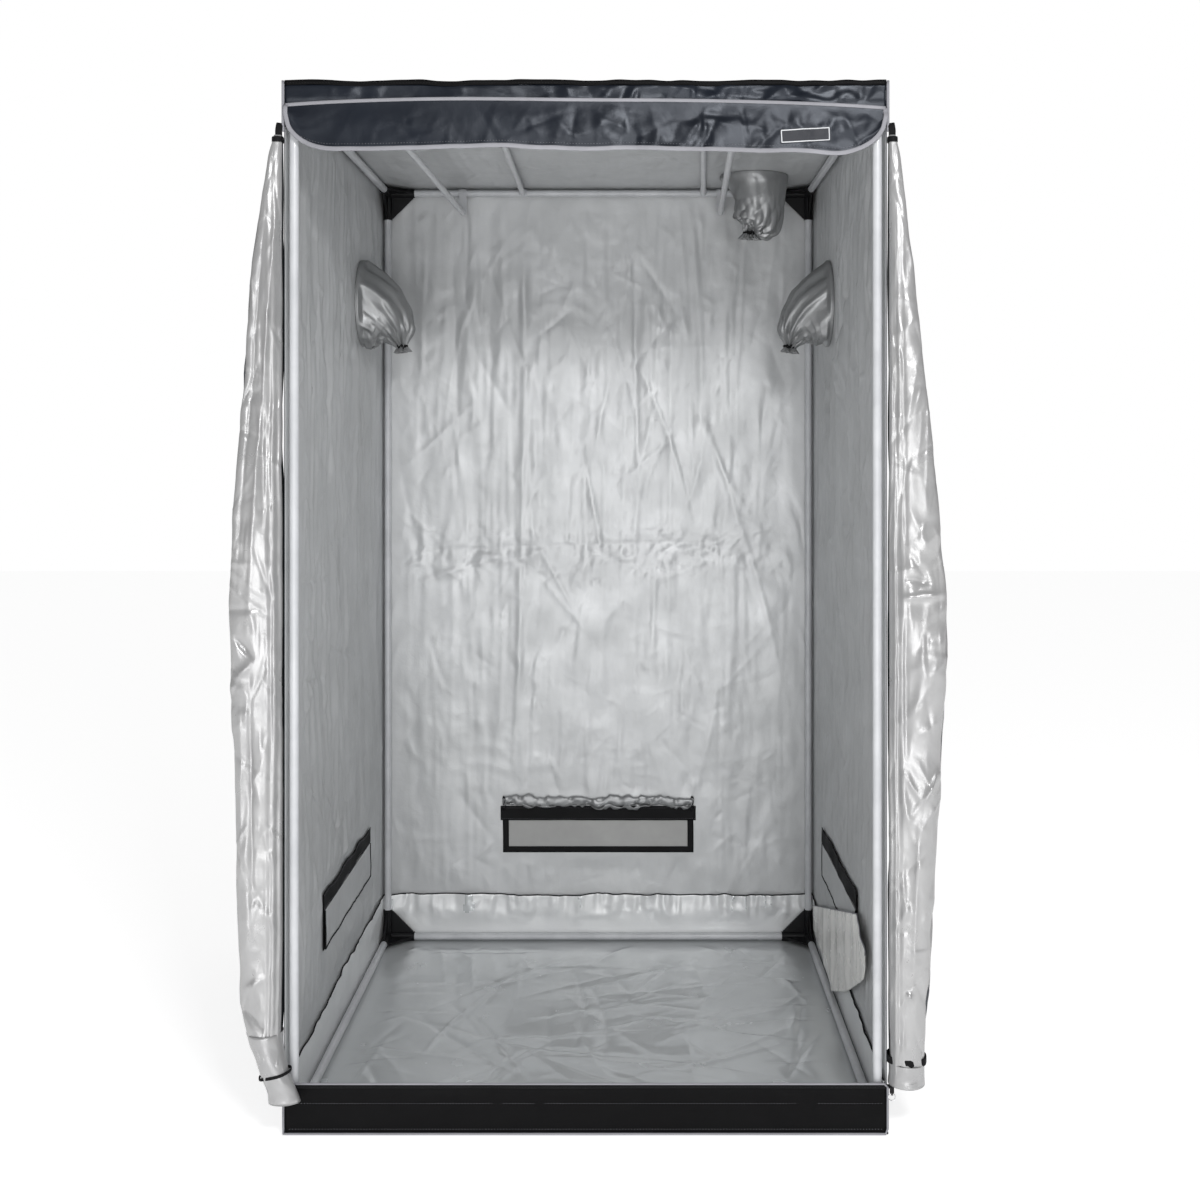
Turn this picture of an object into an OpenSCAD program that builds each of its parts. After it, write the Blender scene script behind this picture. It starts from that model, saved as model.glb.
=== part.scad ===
// Fabric equipment tent on a tube frame, zipped doors tied back at the front corners.
// Millimetres. +Z is up, +X is the width, -Y is the front.
// The origin is the centre of the footprint, on the surface that the tent stands on.

/* [Tent] */
// Width of the tent, across the front
tent_w = 1220; // [1100:10:1400]
// Depth of the tent, from front to back
tent_d = 1220; // [1220:10:1400]
// Height of the tent
tent_h = 2130; // [2050:10:2300]
// Thickness of the fabric panels
skin_t = 2; // [1.5:0.5:2.5]
// Height of the sill band below the doorway
sill_h = 103; // [95:1:110]
// Height of the header panel above the doorway
header_h = 90; // [80:5:100]

/* [Frame] */
// Outer diameter of the frame tubes
tube_d = 19; // [16:0.5:19]
// Wall of the frame tubes and hanging bars
tube_wall = 1; // [0.8:0.1:1.5]
// Distance from the tent's outer faces to the tube centres
tube_inset = 17; // [17:0.5:20]
// Length of each arm of a corner connector, from the tubes' crossing
arm_len = 75; // [60:1:85]
// Outer diameter of the connector arms
arm_d = 25; // [23:0.5:25]
// Thickness of the connector's gusset plates
gusset_t = 5; // [3:0.5:6]

/* [Hanging bars] */
// Outer diameter of the hanging bars
bar_d = 16; // [12:0.5:16]
// How far the two dropped bars hang below the top tubes
bar_drop = 55; // [45:1:70]

/* [Ports and vents] */
// Inner radius of the two side duct ports
side_port_r = 102.5; // [90:0.5:105]
// Inner radius of the roof duct port
roof_port_r = 82.5; // [70:0.5:85]
// Length of each port collar along its bore
collar_len = 14; // [12:1:18]
// Width of the back vent
back_vent_w = 540; // [500:10:600]
// Width of the side vents
side_vent_w = 600; // [540:10:640]
// Height of all vents, with the black strip
vent_h = 132; // [120:1:150]
// Height of the vents' lower edges above the ground
vent_z = 250; // [240:1:270]

/* [Valance and tray] */
// Height of the valance flap
valance_h = 90; // [80:1:95]
// Height of the floor tray's walls
tray_h = 132; // [110:1:140]

/* [Hidden] */
$fn = 64;

// Half sizes of the tent and the tube centre lines
half_w = tent_w / 2;
half_d = tent_d / 2;
tube_r = tube_d / 2;
tube_x = half_w - tube_inset;
tube_y = half_d - tube_inset;
tube_low = tube_inset;
tube_high = tent_h - tube_inset;
// Gap that keeps separate pieces apart, and the slack of a tube in its socket
gap = 0.3;
socket_slack = 0.05;
// Tubes start this far from the crossing of their centre lines
tube_start = 20;
// Where the two halves of a post join, and how long the joining spigot is
post_joint_z = tent_h / 2;
spigot_len = 60;

// Height of the valance seam and the plane of its hinge
valance_top = tent_h - 45;
valance_t = 2.5;
valance_y = -half_d - 1.5;
// Elliptical lower corners of the valance
valance_corner_w = 110;
valance_corner_h = 78;
valance_half = half_w - 4;
patch_size = [100, 1, 28];
patch_at = [444, -half_d - 5.4, tent_h - 108];
patch_tilt = 3;

// Ports: distance behind the tent's centre, height, and the roof port's place
side_port_y = 270;
side_port_z = 1770;
roof_port_at = [425, 410];
collar_wall = 7.5;
collar_out = 6;
// Slack of a collar in its hole
port_slack = 0.6;
sock_t = 2;

// Vents: place along the side walls, and the parts of the frame
side_vent_y = 60;
strip_h = 40;
strip_over = 6;
border = 17;
screen_t = 0.6;
frame_t = 2.2;
strip_t = 2;
flap_t = 2;
screen_n = skin_t + 0.1;
frame_n = screen_n + screen_t + 0.1;
strip_n = frame_n + frame_t;
flap_n = strip_n + gap;

// Hanging bars: x at the front tube, x at the back tube, drop below the top tubes
bars = [[-412, -381, bar_drop], [-210, -212, 0], [240, 297, 0], [307, 345, bar_drop]];
hook_w = 22;
hook_t = 3;
hook_slack = 0.3;

// Doors tied back: height, width out from the corner, reach forward, reach backward
door_left_shape = [
    [2022, 16, 8, 10], [1995, 28, 16, 18], [1690, 67, 28, 46],
    [1085, 111, 34, 62], [560, 95, 34, 58], [262, 86, 34, 50]
];
door_right_shape = [
    [2022, 14, 8, 10], [1995, 24, 16, 18], [1690, 60, 28, 46],
    [1085, 121, 34, 62], [560, 97, 34, 58], [262, 80, 34, 50]
];
door_gap = 3;
door_seam_y = -half_d - 2;
// Feet of the doors: centre x, centre y, z, half width, half depth
foot_left_shape = [
    [-654.5, -604, 261, 41.5, 42], [-642, -625, 190, 29, 33],
    [-624, -641, 145, 26, 21], [-600, -640, 80, 29, 20]
];
foot_right_shape = [
    [651.5, -604, 261, 38.5, 42], [649, -606, 165, 34, 38],
    [649, -608, 108, 34, 36]
];
strap_t = 2;
strap_w = 18;

// Zip along the top edge of the sill, with its slider parked at the right end
zip_z = sill_h - 3;
zip_h = 6;
slider_at = [half_w + 9, -half_d - 4.6, zip_z - 6];
slider_size = [8, 5.4, 18];
// Height of the slider's eye above its lower end
slider_eye = 1.4;
pull_r = 7;
pull_wire = 1;

// Pocket on the right wall: outline points [y, z] and how far it stands off the wall
pocket_outline = [[500, 90], [485, 136], [-290, 352], [-430, 300], [-395, 240], [-150, 126], [110, 32]];
pocket_stand_off = 12;
pocket_t = 5;

shell_black = [0.09, 0.09, 0.10];
cloth_dark = [0.19, 0.21, 0.25];
film_silver = [0.72, 0.73, 0.75];
tube_white = [0.88, 0.89, 0.90];
mesh_grey = [0.58, 0.58, 0.58];
webbing_grey = [0.62, 0.62, 0.66];

// ---------- helpers ----------

// Box given by its lowest and highest corners
module span(low, high) {
    translate(low)
        cube(high - low);
}

// Side faces of a tube of rings, with n points in each of m rings
function loft_sides(m, n) = [
    for (i = [0:m - 2], j = [0:n - 1])
        [i * n + j, i * n + (j + 1) % n, (i + 1) * n + (j + 1) % n, (i + 1) * n + j]
];

// Closed solid through elliptical rings [x, y, z, half width, half depth], from the top ring down
module loft(rings, n = 28) {
    m = len(rings);
    points = [
        for (r = rings, j = [0:n - 1])
            [r[0] + r[3] * cos(360 * j / n), r[1] + r[4] * sin(360 * j / n), r[2]]
    ];
    top = [[for (j = [0:n - 1]) n - 1 - j]];
    bottom = [[for (j = [0:n - 1]) (m - 1) * n + j]];
    polyhedron(points, concat(top, loft_sides(m, n), bottom));
}

// Moves children from a wall's own frame (x along the wall, -y into the tent) onto that wall
module on_wall(side) {
    if (side == "back") translate([0, half_d, 0]) children();
    if (side == "left") translate([-half_w, 0, 0]) rotate([0, 0, 90]) children();
    if (side == "right") translate([half_w, 0, 0]) rotate([0, 0, -90]) children();
}

// Hollow tube along Z from z0 to z1
module pipe(outer_r, inner_r, z0, z1) {
    translate([0, 0, z0])
        difference() {
            cylinder(r = outer_r, h = z1 - z0);
            translate([0, 0, -1])
                cylinder(r = inner_r, h = z1 - z0 + 2);
        }
}

// ---------- fabric shell ----------

module floor_panel() {
    color(cloth_dark)
        span([-half_w + skin_t, -half_d, 0], [half_w - skin_t, half_d - skin_t, skin_t]);
}

// Hole in a wall behind a vent's screen, in the wall's own frame
module vent_hole(u, w) {
    span([u - w / 2 + border, -skin_t - 1, vent_z + border],
         [u + w / 2 - border, 1, vent_z + vent_h - strip_h]);
}

module back_panel() {
    color(cloth_dark)
        difference() {
            span([-half_w + skin_t, half_d - skin_t, 0], [half_w - skin_t, half_d, tent_h]);
            on_wall("back") vent_hole(0, back_vent_w);
        }
}

// Side wall with its vent hole and the round hole for the port collar
module side_panel(side, mirror_u) {
    on_wall(side)
        difference() {
            span([-half_d, -skin_t, 0], [half_d, 0, tent_h]);
            vent_hole(mirror_u * side_vent_y, side_vent_w);
            translate([mirror_u * side_port_y, 1, side_port_z])
                rotate([90, 0, 0])
                    cylinder(r = side_port_r + collar_wall + port_slack, h = skin_t + 2);
        }
}

module left_panel() {
    color(cloth_dark) side_panel("left", 1);
}

module right_panel() {
    color(cloth_dark) side_panel("right", -1);
}

module roof_panel() {
    color(cloth_dark)
        difference() {
            span([-half_w + skin_t, -half_d, tent_h - skin_t], [half_w - skin_t, half_d - skin_t, tent_h]);
            translate([roof_port_at[0], roof_port_at[1], tent_h - skin_t - 1])
                cylinder(r = roof_port_r + collar_wall + port_slack, h = skin_t + 2);
        }
}

module front_sill() {
    color(shell_black)
        span([-half_w + skin_t, -half_d, skin_t], [half_w - skin_t, -half_d + skin_t, sill_h]);
}

module front_header() {
    color(cloth_dark)
        span([-half_w + skin_t, -half_d, tent_h - header_h], [half_w - skin_t, -half_d + skin_t, tent_h - skin_t]);
}

// Quarter ellipse from the flap's side edge (0 degrees) to its lower edge (90 degrees)
function valance_corner(side) = [
    for (a = [0:10:90])
        let (t = side > 0 ? a : 90 - a)
            [side * (valance_half - valance_corner_w * (1 - cos(t))),
             -valance_h + valance_corner_h * (1 - sin(t))]
];

module valance_flap() {
    color(cloth_dark)
        translate([0, valance_y, valance_top])
            rotate([90, 0, 0])
                linear_extrude(valance_t)
                    polygon(concat([[-valance_half, 0], [valance_half, 0]],
                                   valance_corner(1), valance_corner(-1)));
}

module label_patch() {
    color(webbing_grey)
        translate(patch_at)
            rotate([0, patch_tilt, 0])
                cube(patch_size, center = true);
}

// Waterproof tray that lines the floor, with walls behind the bottom tubes
module floor_tray() {
    low = skin_t + gap;
    wall_out = skin_t + 0.5;
    wall_in = wall_out + 1.5;
    color(film_silver)
        difference() {
            span([-half_w + wall_out, -half_d + wall_out, low], [half_w - wall_out, half_d - wall_out, tray_h]);
            span([-half_w + wall_in, -half_d + wall_in, low + 1.7],
                 [half_w - wall_in, half_d - wall_in, tray_h + 1]);
            // The front wall of the tray stays just below the sill's zip
            span([-half_w, -half_d, sill_h - 8], [half_w, -half_d + wall_in + 1, tray_h + 1]);
        }
}

// ---------- tube frame ----------

// Two tubes joined at mid height by a spigot that is part of the lower one
module post(sx, sy) {
    bore_r = tube_r - tube_wall;
    color(tube_white)
        translate([sx * tube_x, sy * tube_y, 0]) {
            union() {
                pipe(tube_r, bore_r, tube_low + tube_start, post_joint_z);
                pipe(bore_r + 0.01, bore_r - tube_wall, post_joint_z - spigot_len / 2, post_joint_z - 1);
                pipe(bore_r - 0.1, bore_r - tube_wall, post_joint_z - 1.5, post_joint_z + spigot_len / 2);
            }
            pipe(tube_r, bore_r, post_joint_z + 0.2, tube_high - tube_start);
        }
}

// Tube across the width, at the front or back
module tube_across(sy, z) {
    color(tube_white)
        translate([0, sy * tube_y, z])
            rotate([0, 90, 0])
                pipe(tube_r, tube_r - tube_wall, -tube_x + tube_start, tube_x - tube_start);
}

// Tube from front to back, at the left or right
module tube_along(sx, z) {
    color(tube_white)
        translate([sx * tube_x, 0, z])
            rotate([-90, 0, 0])
                pipe(tube_r, tube_r - tube_wall, -tube_y + tube_start, tube_y - tube_start);
}

// Triangular web in the corner between two arms, in the XY plane
module gusset() {
    translate([0, 0, -gusset_t / 2])
        linear_extrude(gusset_t)
            polygon([[0, 0], [arm_len - 4, 0], [arm_len - 4, arm_d / 2 + 2],
                     [arm_d / 2 + 2, arm_len - 4], [0, arm_len - 4]]);
}

// Three sockets that meet at the origin and point along +X, +Y and +Z
module corner_shape() {
    difference() {
        union() {
            sphere(r = arm_d / 2);
            cylinder(r = arm_d / 2, h = arm_len);
            rotate([-90, 0, 0]) cylinder(r = arm_d / 2, h = arm_len);
            rotate([0, 90, 0]) cylinder(r = arm_d / 2, h = arm_len);
            gusset();
            rotate([90, 0, 0]) gusset();
            rotate([0, -90, 0]) gusset();
        }
        socket_bores();
    }
}

// Blind bores of the three sockets
module socket_bores() {
    bore_r = tube_r + socket_slack;
    bore_h = arm_len - tube_start + 2;
    translate([0, 0, tube_start - 1]) cylinder(r = bore_r, h = bore_h);
    rotate([-90, 0, 0]) translate([0, 0, tube_start - 1]) cylinder(r = bore_r, h = bore_h);
    rotate([0, 90, 0]) translate([0, 0, tube_start - 1]) cylinder(r = bore_r, h = bore_h);
}

module corner(sx, sy, z, up) {
    color(shell_black)
        translate([sx * tube_x, sy * tube_y, z])
            mirror([sx > 0 ? 1 : 0, 0, 0])
                mirror([0, sy > 0 ? 1 : 0, 0])
                    mirror([0, 0, up > 0 ? 1 : 0])
                        corner_shape();
}

// Half ring that sits over a top tube, with a web down to the bar; the bar lies on its +Y side
module bar_hook(drop) {
    ring_in = tube_r + hook_slack;
    ring_out = ring_in + hook_t;
    rotate([0, 90, 0])
        translate([0, 0, -hook_w / 2])
            difference() {
                cylinder(r = ring_out, h = hook_w);
                translate([0, 0, -1]) cylinder(r = ring_in, h = hook_w + 2);
                translate([0, -ring_out - 1, -1]) cube([ring_out + 1, 2 * ring_out + 2, hook_w + 2]);
            }
    span([-hook_w / 2, ring_in, -drop - bar_d / 2], [hook_w / 2, ring_out, 1]);
}

module hanging_bar(front_x, back_x, drop) {
    reach = tube_y - tube_r - hook_slack - 0.5;
    run = 2 * reach;
    lean = (back_x - front_x) * reach / tube_y;
    mid_x = (front_x + back_x) / 2;
    bar_len = norm([run, lean]);
    color(tube_white)
        difference() {
            union() {
                translate([front_x, -tube_y, tube_high]) bar_hook(drop);
                translate([back_x, tube_y, tube_high]) rotate([0, 0, 180]) bar_hook(drop);
                translate([mid_x, 0, tube_high - drop])
                    rotate([0, 0, -atan(lean / run)])
                        rotate([90, 0, 0])
                            cylinder(r = bar_d / 2, h = bar_len - 2, center = true);
            }
            translate([mid_x, 0, tube_high - drop])
                rotate([0, 0, -atan(lean / run)])
                    rotate([90, 0, 0])
                        cylinder(r = bar_d / 2 - tube_wall, h = bar_len - 20, center = true);
        }
}

// ---------- doors ----------

// Rings of a tied-back door: each spans from the wall's outer face to its width out
function door_rings(shape, sx) = [
    for (s = shape)
        [sx * (half_w + (s[1] + door_gap) / 2), door_seam_y + (s[3] - s[2]) / 2, s[0],
         (s[1] - door_gap) / 2, (s[3] + s[2]) / 2]
];

module door(shape, sx) {
    color(film_silver) loft(door_rings(shape, sx));
}

module door_foot(shape) {
    color(film_silver) loft(shape);
}

// Ring of a loft at height z, between the rings above and below it
function ring_at(rings, z) = [for (i = [0:4]) lookup(z, [for (r = rings) [r[2], r[i]]])];

// The same ring, larger all round
function grown(ring, by) = [ring[0], ring[1], ring[2], ring[3] + by, ring[4] + by];

// Webbing band that follows a loft, centred at height z
module band(rings, z, height) {
    high = ring_at(rings, z + height / 2);
    low = ring_at(rings, z - height / 2);
    rise = (high - low) / height;
    color(shell_black)
        difference() {
            loft([grown(high, gap + strap_t), grown(low, gap + strap_t)]);
            loft([grown(high + rise, gap), grown(low - rise, gap)]);
        }
}

module top_strap(shape, sx) {
    band(door_rings(shape, sx), 2013, strap_w - 6);
}

module foot_strap_left() {
    band(foot_left_shape, 137, strap_w - 10);
}

module foot_strap_right() {
    band(foot_right_shape, 153, strap_w - 2);
}

// ---------- zip ----------

module sill_zip() {
    color(shell_black)
        span([-half_w, -half_d - 1.5, zip_z - zip_h / 2], [half_w + 14, -half_d - gap, zip_z + zip_h / 2]);
}

module zip_slider() {
    color(shell_black)
        translate(slider_at)
            union() {
                cube([slider_size[0], slider_size[1], slider_size[2] - 6], center = true);
                translate([0, 0, -slider_size[2] / 2 + slider_eye])
                    difference() {
                        cube([3, slider_size[1], 6], center = true);
                        rotate([0, 90, 0]) cylinder(r = pull_wire + 0.5, h = 8, center = true);
                    }
            }
}

// Wire ring that hangs in the slider's eye
module zip_pull() {
    color([0.7, 0.7, 0.72])
        translate([slider_at[0], slider_at[1], slider_at[2] - slider_size[2] / 2 + slider_eye - pull_r])
            rotate([90, 0, 90])
                rotate([0, 90, 0])
                    rotate_extrude()
                        translate([pull_r, 0])
                            circle(r = pull_wire);
}

// ---------- duct ports ----------

// Stiff round collar along Z, from collar_out outside the skin into the tent
module collar(r) {
    color(shell_black)
        pipe(r + collar_wall, r, collar_out - collar_len, collar_out);
}

module side_collar(side, mirror_u) {
    on_wall(side)
        translate([mirror_u * side_port_y, 0, side_port_z])
            rotate([-90, 0, 0])
                collar(side_port_r);
}

module port_collar_roof() {
    translate([roof_port_at[0], roof_port_at[1], tent_h])
        collar(roof_port_r);
}

// Bag of cloth: a round mouth of radius r at the origin, opening towards +Z, a belly and a tied tip
module sock_skin(r, belly, belly_r, tip, tip_r, mouth_h) {
    hull() {
        translate([0, 0, -0.5]) cylinder(r = r, h = mouth_h, $fn = 40);
        translate(belly) sphere(r = belly_r, $fn = 24);
        translate(tip) sphere(r = tip_r, $fn = 16);
    }
}

module sock(r, belly, belly_r, tip, tip_r) {
    color(film_silver)
        difference() {
            sock_skin(r + collar_wall - 1, belly, belly_r, tip, tip_r, 0.5);
            sock_skin(r + 1, belly, belly_r - sock_t, tip, tip_r - sock_t, 2);
        }
}

// The side socks droop: in their own frame +Z points out of the tent and +Y points down
module side_sock(side, mirror_u) {
    on_wall(side)
        translate([mirror_u * side_port_y, collar_out - collar_len - gap, side_port_z])
            rotate([-90, 0, 0])
                sock(side_port_r, [0, -12, -94], 45, [0, 82, -108], 16);
}

module duct_sock_roof() {
    translate([roof_port_at[0], roof_port_at[1], tent_h + collar_out - collar_len - gap])
        sock(roof_port_r, [12, 0, -95], 52, [-4, -2, -140], 16);
}

// Drawcord loops round the three tied tips, each with its knot and two short ends
module drawcord(at, loop_r) {
    translate(at) {
        rotate_extrude()
            translate([loop_r, 0])
                circle(r = 1.8);
        translate([loop_r * 0.7, 0, -9]) {
            sphere(r = 5, $fn = 24);
            rotate([0, 150, 0]) cylinder(r = 1.8, h = 18);
            rotate([0, 205, 0]) cylinder(r = 1.8, h = 15);
        }
    }
}

module sock_drawcords() {
    color(shell_black) {
        drawcord([-half_w + 118, side_port_y, side_port_z - 104], 12);
        drawcord([half_w - 118, side_port_y, side_port_z - 104], 12);
        drawcord([roof_port_at[0] - 4, roof_port_at[1] - 2, tent_h - 166], 12);
    }
}

// ---------- vents ----------

// Insect screen behind the frame, in the wall's own frame
module screen(u, w) {
    span([u - w / 2 + border - 8, -screen_n - screen_t, vent_z + border - 8],
         [u + w / 2 - border + 8, -screen_n, vent_z + vent_h - strip_h + 8]);
}

module vent_screens() {
    color(mesh_grey) {
        on_wall("back") screen(0, back_vent_w);
        on_wall("left") screen(side_vent_y, side_vent_w);
        on_wall("right") screen(-side_vent_y, side_vent_w);
    }
}

// Black binding round the window, with the wide strip along the top
module vent_frame(u, w) {
    color(shell_black)
        union() {
            difference() {
                span([u - w / 2, -frame_n - frame_t, vent_z], [u + w / 2, -frame_n, vent_z + vent_h]);
                span([u - w / 2 + border, -frame_n - frame_t - 1, vent_z + border],
                     [u + w / 2 - border, 1, vent_z + vent_h - strip_h]);
            }
            span([u - w / 2 - strip_over, -strip_n - strip_t, vent_z + vent_h - strip_h],
                 [u + w / 2 + strip_over, -frame_n, vent_z + vent_h]);
        }
}

// Closed flap that covers the window from the strip down
module closed_flap(u, w) {
    color(film_silver)
        span([u - w / 2 + 4, -flap_n - flap_t, vent_z + 4],
             [u + w / 2 - 4, -flap_n, vent_z + vent_h - strip_h - 1]);
}

// Flap rolled up above the window
module rolled_flap(w) {
    roll_r = 11;
    color(film_silver)
        translate([0, -roll_r - skin_t - 1, vent_z + vent_h + roll_r + gap])
            rotate([0, 90, 0])
                cylinder(r = roll_r, h = w, center = true);
}

// ---------- pocket ----------

module accessory_pocket() {
    color([0.8, 0.8, 0.8])
        translate([half_w - pocket_stand_off, 0, 0])
            rotate([90, 0, -90])
                linear_extrude(pocket_t)
                    polygon([for (p = pocket_outline) [-p[0], p[1]]]);
}

// ---------- drawing ----------

floor_panel();
back_panel();
left_panel();
right_panel();
roof_panel();
front_sill();
front_header();
valance_flap();
label_patch();
floor_tray();
post(-1, -1);  // post_front_left
post(1, -1);  // post_front_right
post(-1, 1);  // post_back_left
post(1, 1);  // post_back_right
tube_across(-1, tube_high);  // top_tube_front
tube_across(1, tube_high);  // top_tube_back
tube_along(-1, tube_high);  // top_tube_left
tube_along(1, tube_high);  // top_tube_right
tube_across(-1, tube_low);  // bottom_tube_front
tube_across(1, tube_low);  // bottom_tube_back
tube_along(-1, tube_low);  // bottom_tube_left
tube_along(1, tube_low);  // bottom_tube_right
corner(-1, -1, tube_high, 1);  // top_corner_front_left
corner(1, -1, tube_high, 1);  // top_corner_front_right
corner(-1, 1, tube_high, 1);  // top_corner_back_left
corner(1, 1, tube_high, 1);  // top_corner_back_right
corner(-1, -1, tube_low, 0);  // bottom_corner_front_left
corner(1, -1, tube_low, 0);  // bottom_corner_front_right
corner(-1, 1, tube_low, 0);  // bottom_corner_back_left
corner(1, 1, tube_low, 0);  // bottom_corner_back_right
hanging_bar(bars[0][0], bars[0][1], bars[0][2]);  // hanging_bar_1
hanging_bar(bars[1][0], bars[1][1], bars[1][2]);  // hanging_bar_2
hanging_bar(bars[2][0], bars[2][1], bars[2][2]);  // hanging_bar_3
hanging_bar(bars[3][0], bars[3][1], bars[3][2]);  // hanging_bar_4
door(door_left_shape, -1);  // door_left
door(door_right_shape, 1);  // door_right
door_foot(foot_left_shape);  // door_foot_left
door_foot(foot_right_shape);  // door_foot_right
top_strap(door_left_shape, -1);  // top_strap_left
top_strap(door_right_shape, 1);  // top_strap_right
foot_strap_left();
foot_strap_right();
sill_zip();
zip_slider();
zip_pull();
side_collar("left", 1);  // port_collar_left
side_collar("right", -1);  // port_collar_right
port_collar_roof();
side_sock("left", 1);  // duct_sock_left
side_sock("right", -1);  // duct_sock_right
duct_sock_roof();
sock_drawcords();
vent_screens();
on_wall("back") vent_frame(0, back_vent_w);  // vent_frame_back
on_wall("left") vent_frame(side_vent_y, side_vent_w);  // vent_frame_left
on_wall("right") vent_frame(-side_vent_y, side_vent_w);  // vent_frame_right
on_wall("back") rolled_flap(back_vent_w);  // vent_flap_back
on_wall("left") closed_flap(side_vent_y, side_vent_w);  // vent_flap_left
on_wall("right") closed_flap(-side_vent_y, side_vent_w);  // vent_flap_right
accessory_pocket();
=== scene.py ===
"""Fabric equipment tent: the looks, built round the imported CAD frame.

Metres, +Z up, +X the width, -Y the front. Every place and size comes from the CAD nodes' boxes.
Cloth is modelled as sheets of fine cells: the flat cut is carried onto its place, and slow billows,
folds, crumples and single creases are added along the sheet's normal.
"""

import math

import bpy
import numpy as np
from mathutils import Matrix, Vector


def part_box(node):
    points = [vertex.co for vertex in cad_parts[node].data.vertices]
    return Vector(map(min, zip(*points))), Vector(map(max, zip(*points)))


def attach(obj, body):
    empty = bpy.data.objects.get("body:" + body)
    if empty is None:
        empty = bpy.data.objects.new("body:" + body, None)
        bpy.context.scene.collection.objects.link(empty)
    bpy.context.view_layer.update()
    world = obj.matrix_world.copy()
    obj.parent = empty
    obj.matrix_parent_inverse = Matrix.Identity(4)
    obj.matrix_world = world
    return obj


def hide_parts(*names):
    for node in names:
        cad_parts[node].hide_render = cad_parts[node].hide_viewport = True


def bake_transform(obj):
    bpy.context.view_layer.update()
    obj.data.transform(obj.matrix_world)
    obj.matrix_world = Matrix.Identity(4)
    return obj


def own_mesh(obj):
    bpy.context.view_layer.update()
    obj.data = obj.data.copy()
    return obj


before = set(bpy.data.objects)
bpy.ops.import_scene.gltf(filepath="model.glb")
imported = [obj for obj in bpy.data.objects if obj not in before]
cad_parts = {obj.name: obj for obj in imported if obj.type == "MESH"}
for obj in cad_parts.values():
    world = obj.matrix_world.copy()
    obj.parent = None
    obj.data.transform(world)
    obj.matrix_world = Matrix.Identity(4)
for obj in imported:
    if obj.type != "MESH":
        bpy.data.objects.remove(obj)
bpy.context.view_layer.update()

MM = 0.001

# ---------------------------------------------------------------- sizes from the frame

HALF_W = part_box("right_panel")[1].x
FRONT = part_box("left_panel")[0].y
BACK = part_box("left_panel")[1].y
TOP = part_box("left_panel")[1].z
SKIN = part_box("right_panel")[1].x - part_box("right_panel")[0].x
INNER_W = HALF_W - SKIN
HEADER_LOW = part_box("front_header")[0].z
PORT_SLACK = 3 * MM
CELL = 5.5 * MM
SIDES = (("left", -1), ("right", 1))


# ---------------------------------------------------------------- fields over a flat cut


def smooth(t):
    """Zero below 0, one above 1, with a smooth step in between."""
    t = np.clip(t, 0.0, 1.0)
    return t * t * (3 - 2 * t)


def noise(u, v, cell, seed):
    """Smooth noise from -1 to 1, with one random value per cell."""
    table = np.random.RandomState(seed).uniform(-1, 1, (64, 64))
    x, y = np.asarray(u) / cell, np.asarray(v) / cell
    i, j = np.floor(x).astype(int), np.floor(y).astype(int)
    a, b = smooth(x - i), smooth(y - j)
    low = table[i % 64, j % 64] * (1 - a) + table[(i + 1) % 64, j % 64] * a
    high = table[i % 64, (j + 1) % 64] * (1 - a) + table[(i + 1) % 64, (j + 1) % 64] * a
    return low * (1 - b) + high * b


def crumple(u, v, cell, seed):
    """Sharp ridges between smooth hollows, from about -1 to 1, as in creased film."""
    bend_u = u + 0.5 * cell * noise(u, v, 1.7 * cell, seed + 50)
    bend_v = v + 0.5 * cell * noise(u, v, 1.7 * cell, seed + 60)
    first = np.abs(noise(bend_u, bend_v, cell, seed))
    second = np.abs(noise(bend_v, bend_u, 0.47 * cell, seed + 70))
    return 1 - 2.2 * first - 0.8 * second


def crease(u, v, start, end, width, height, bend=0.0):
    """One peaked crease from start to end, which fades at both ends."""
    start, end = np.array(start, float), np.array(end, float)
    length = np.linalg.norm(end - start)
    du, dv = (end - start) / length
    mid = (start + end) / 2
    along = (u - mid[0]) * du + (v - mid[1]) * dv
    across = (v - mid[1]) * du - (u - mid[0]) * dv + bend * (along**2 - length**2 / 4)
    fade = np.clip(1 - (2 * along / length) ** 2, 0, 1)
    return height * fade * np.exp(-np.abs(across) / width)


def creases(u, v, area, seed, count, height, upright, scale=1.0):
    """Many creases at random over area (low u, high u, low v, high v), most of them near upright."""
    rng = np.random.RandomState(seed)
    total = np.zeros_like(u)
    for _ in range(count):
        at = np.array([rng.uniform(area[0], area[1]), rng.uniform(area[2], area[3])])
        angle = rng.normal(math.pi / 2, 1.2 * (1 - upright) + 0.25)
        half = scale * rng.uniform(0.04, 0.2) * np.array([math.cos(angle), math.sin(angle)])
        width = (0.4 + 0.6 * scale) * rng.uniform(3.5, 12) * MM
        rise = height * rng.choice([-1, 1]) * rng.uniform(0.4, 1.0)
        total += crease(u, v, at - half, at + half, width, rise, rng.uniform(-0.5, 0.5))
    return total


def folds(u, v, table):
    """The sum of single creases: start, end, width and height in mm, and bend."""
    return sum(crease(u, v, a, b, wide * MM, high * MM, bend) for a, b, wide, high, bend in table)


def inside(u, v, area):
    """Whether a place on the cut is in area (low u, high u, low v, high v)."""
    return (u > area[0]) & (u < area[1]) & (v > area[2]) & (v < area[3])


# ---------------------------------------------------------------- meshes


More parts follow.
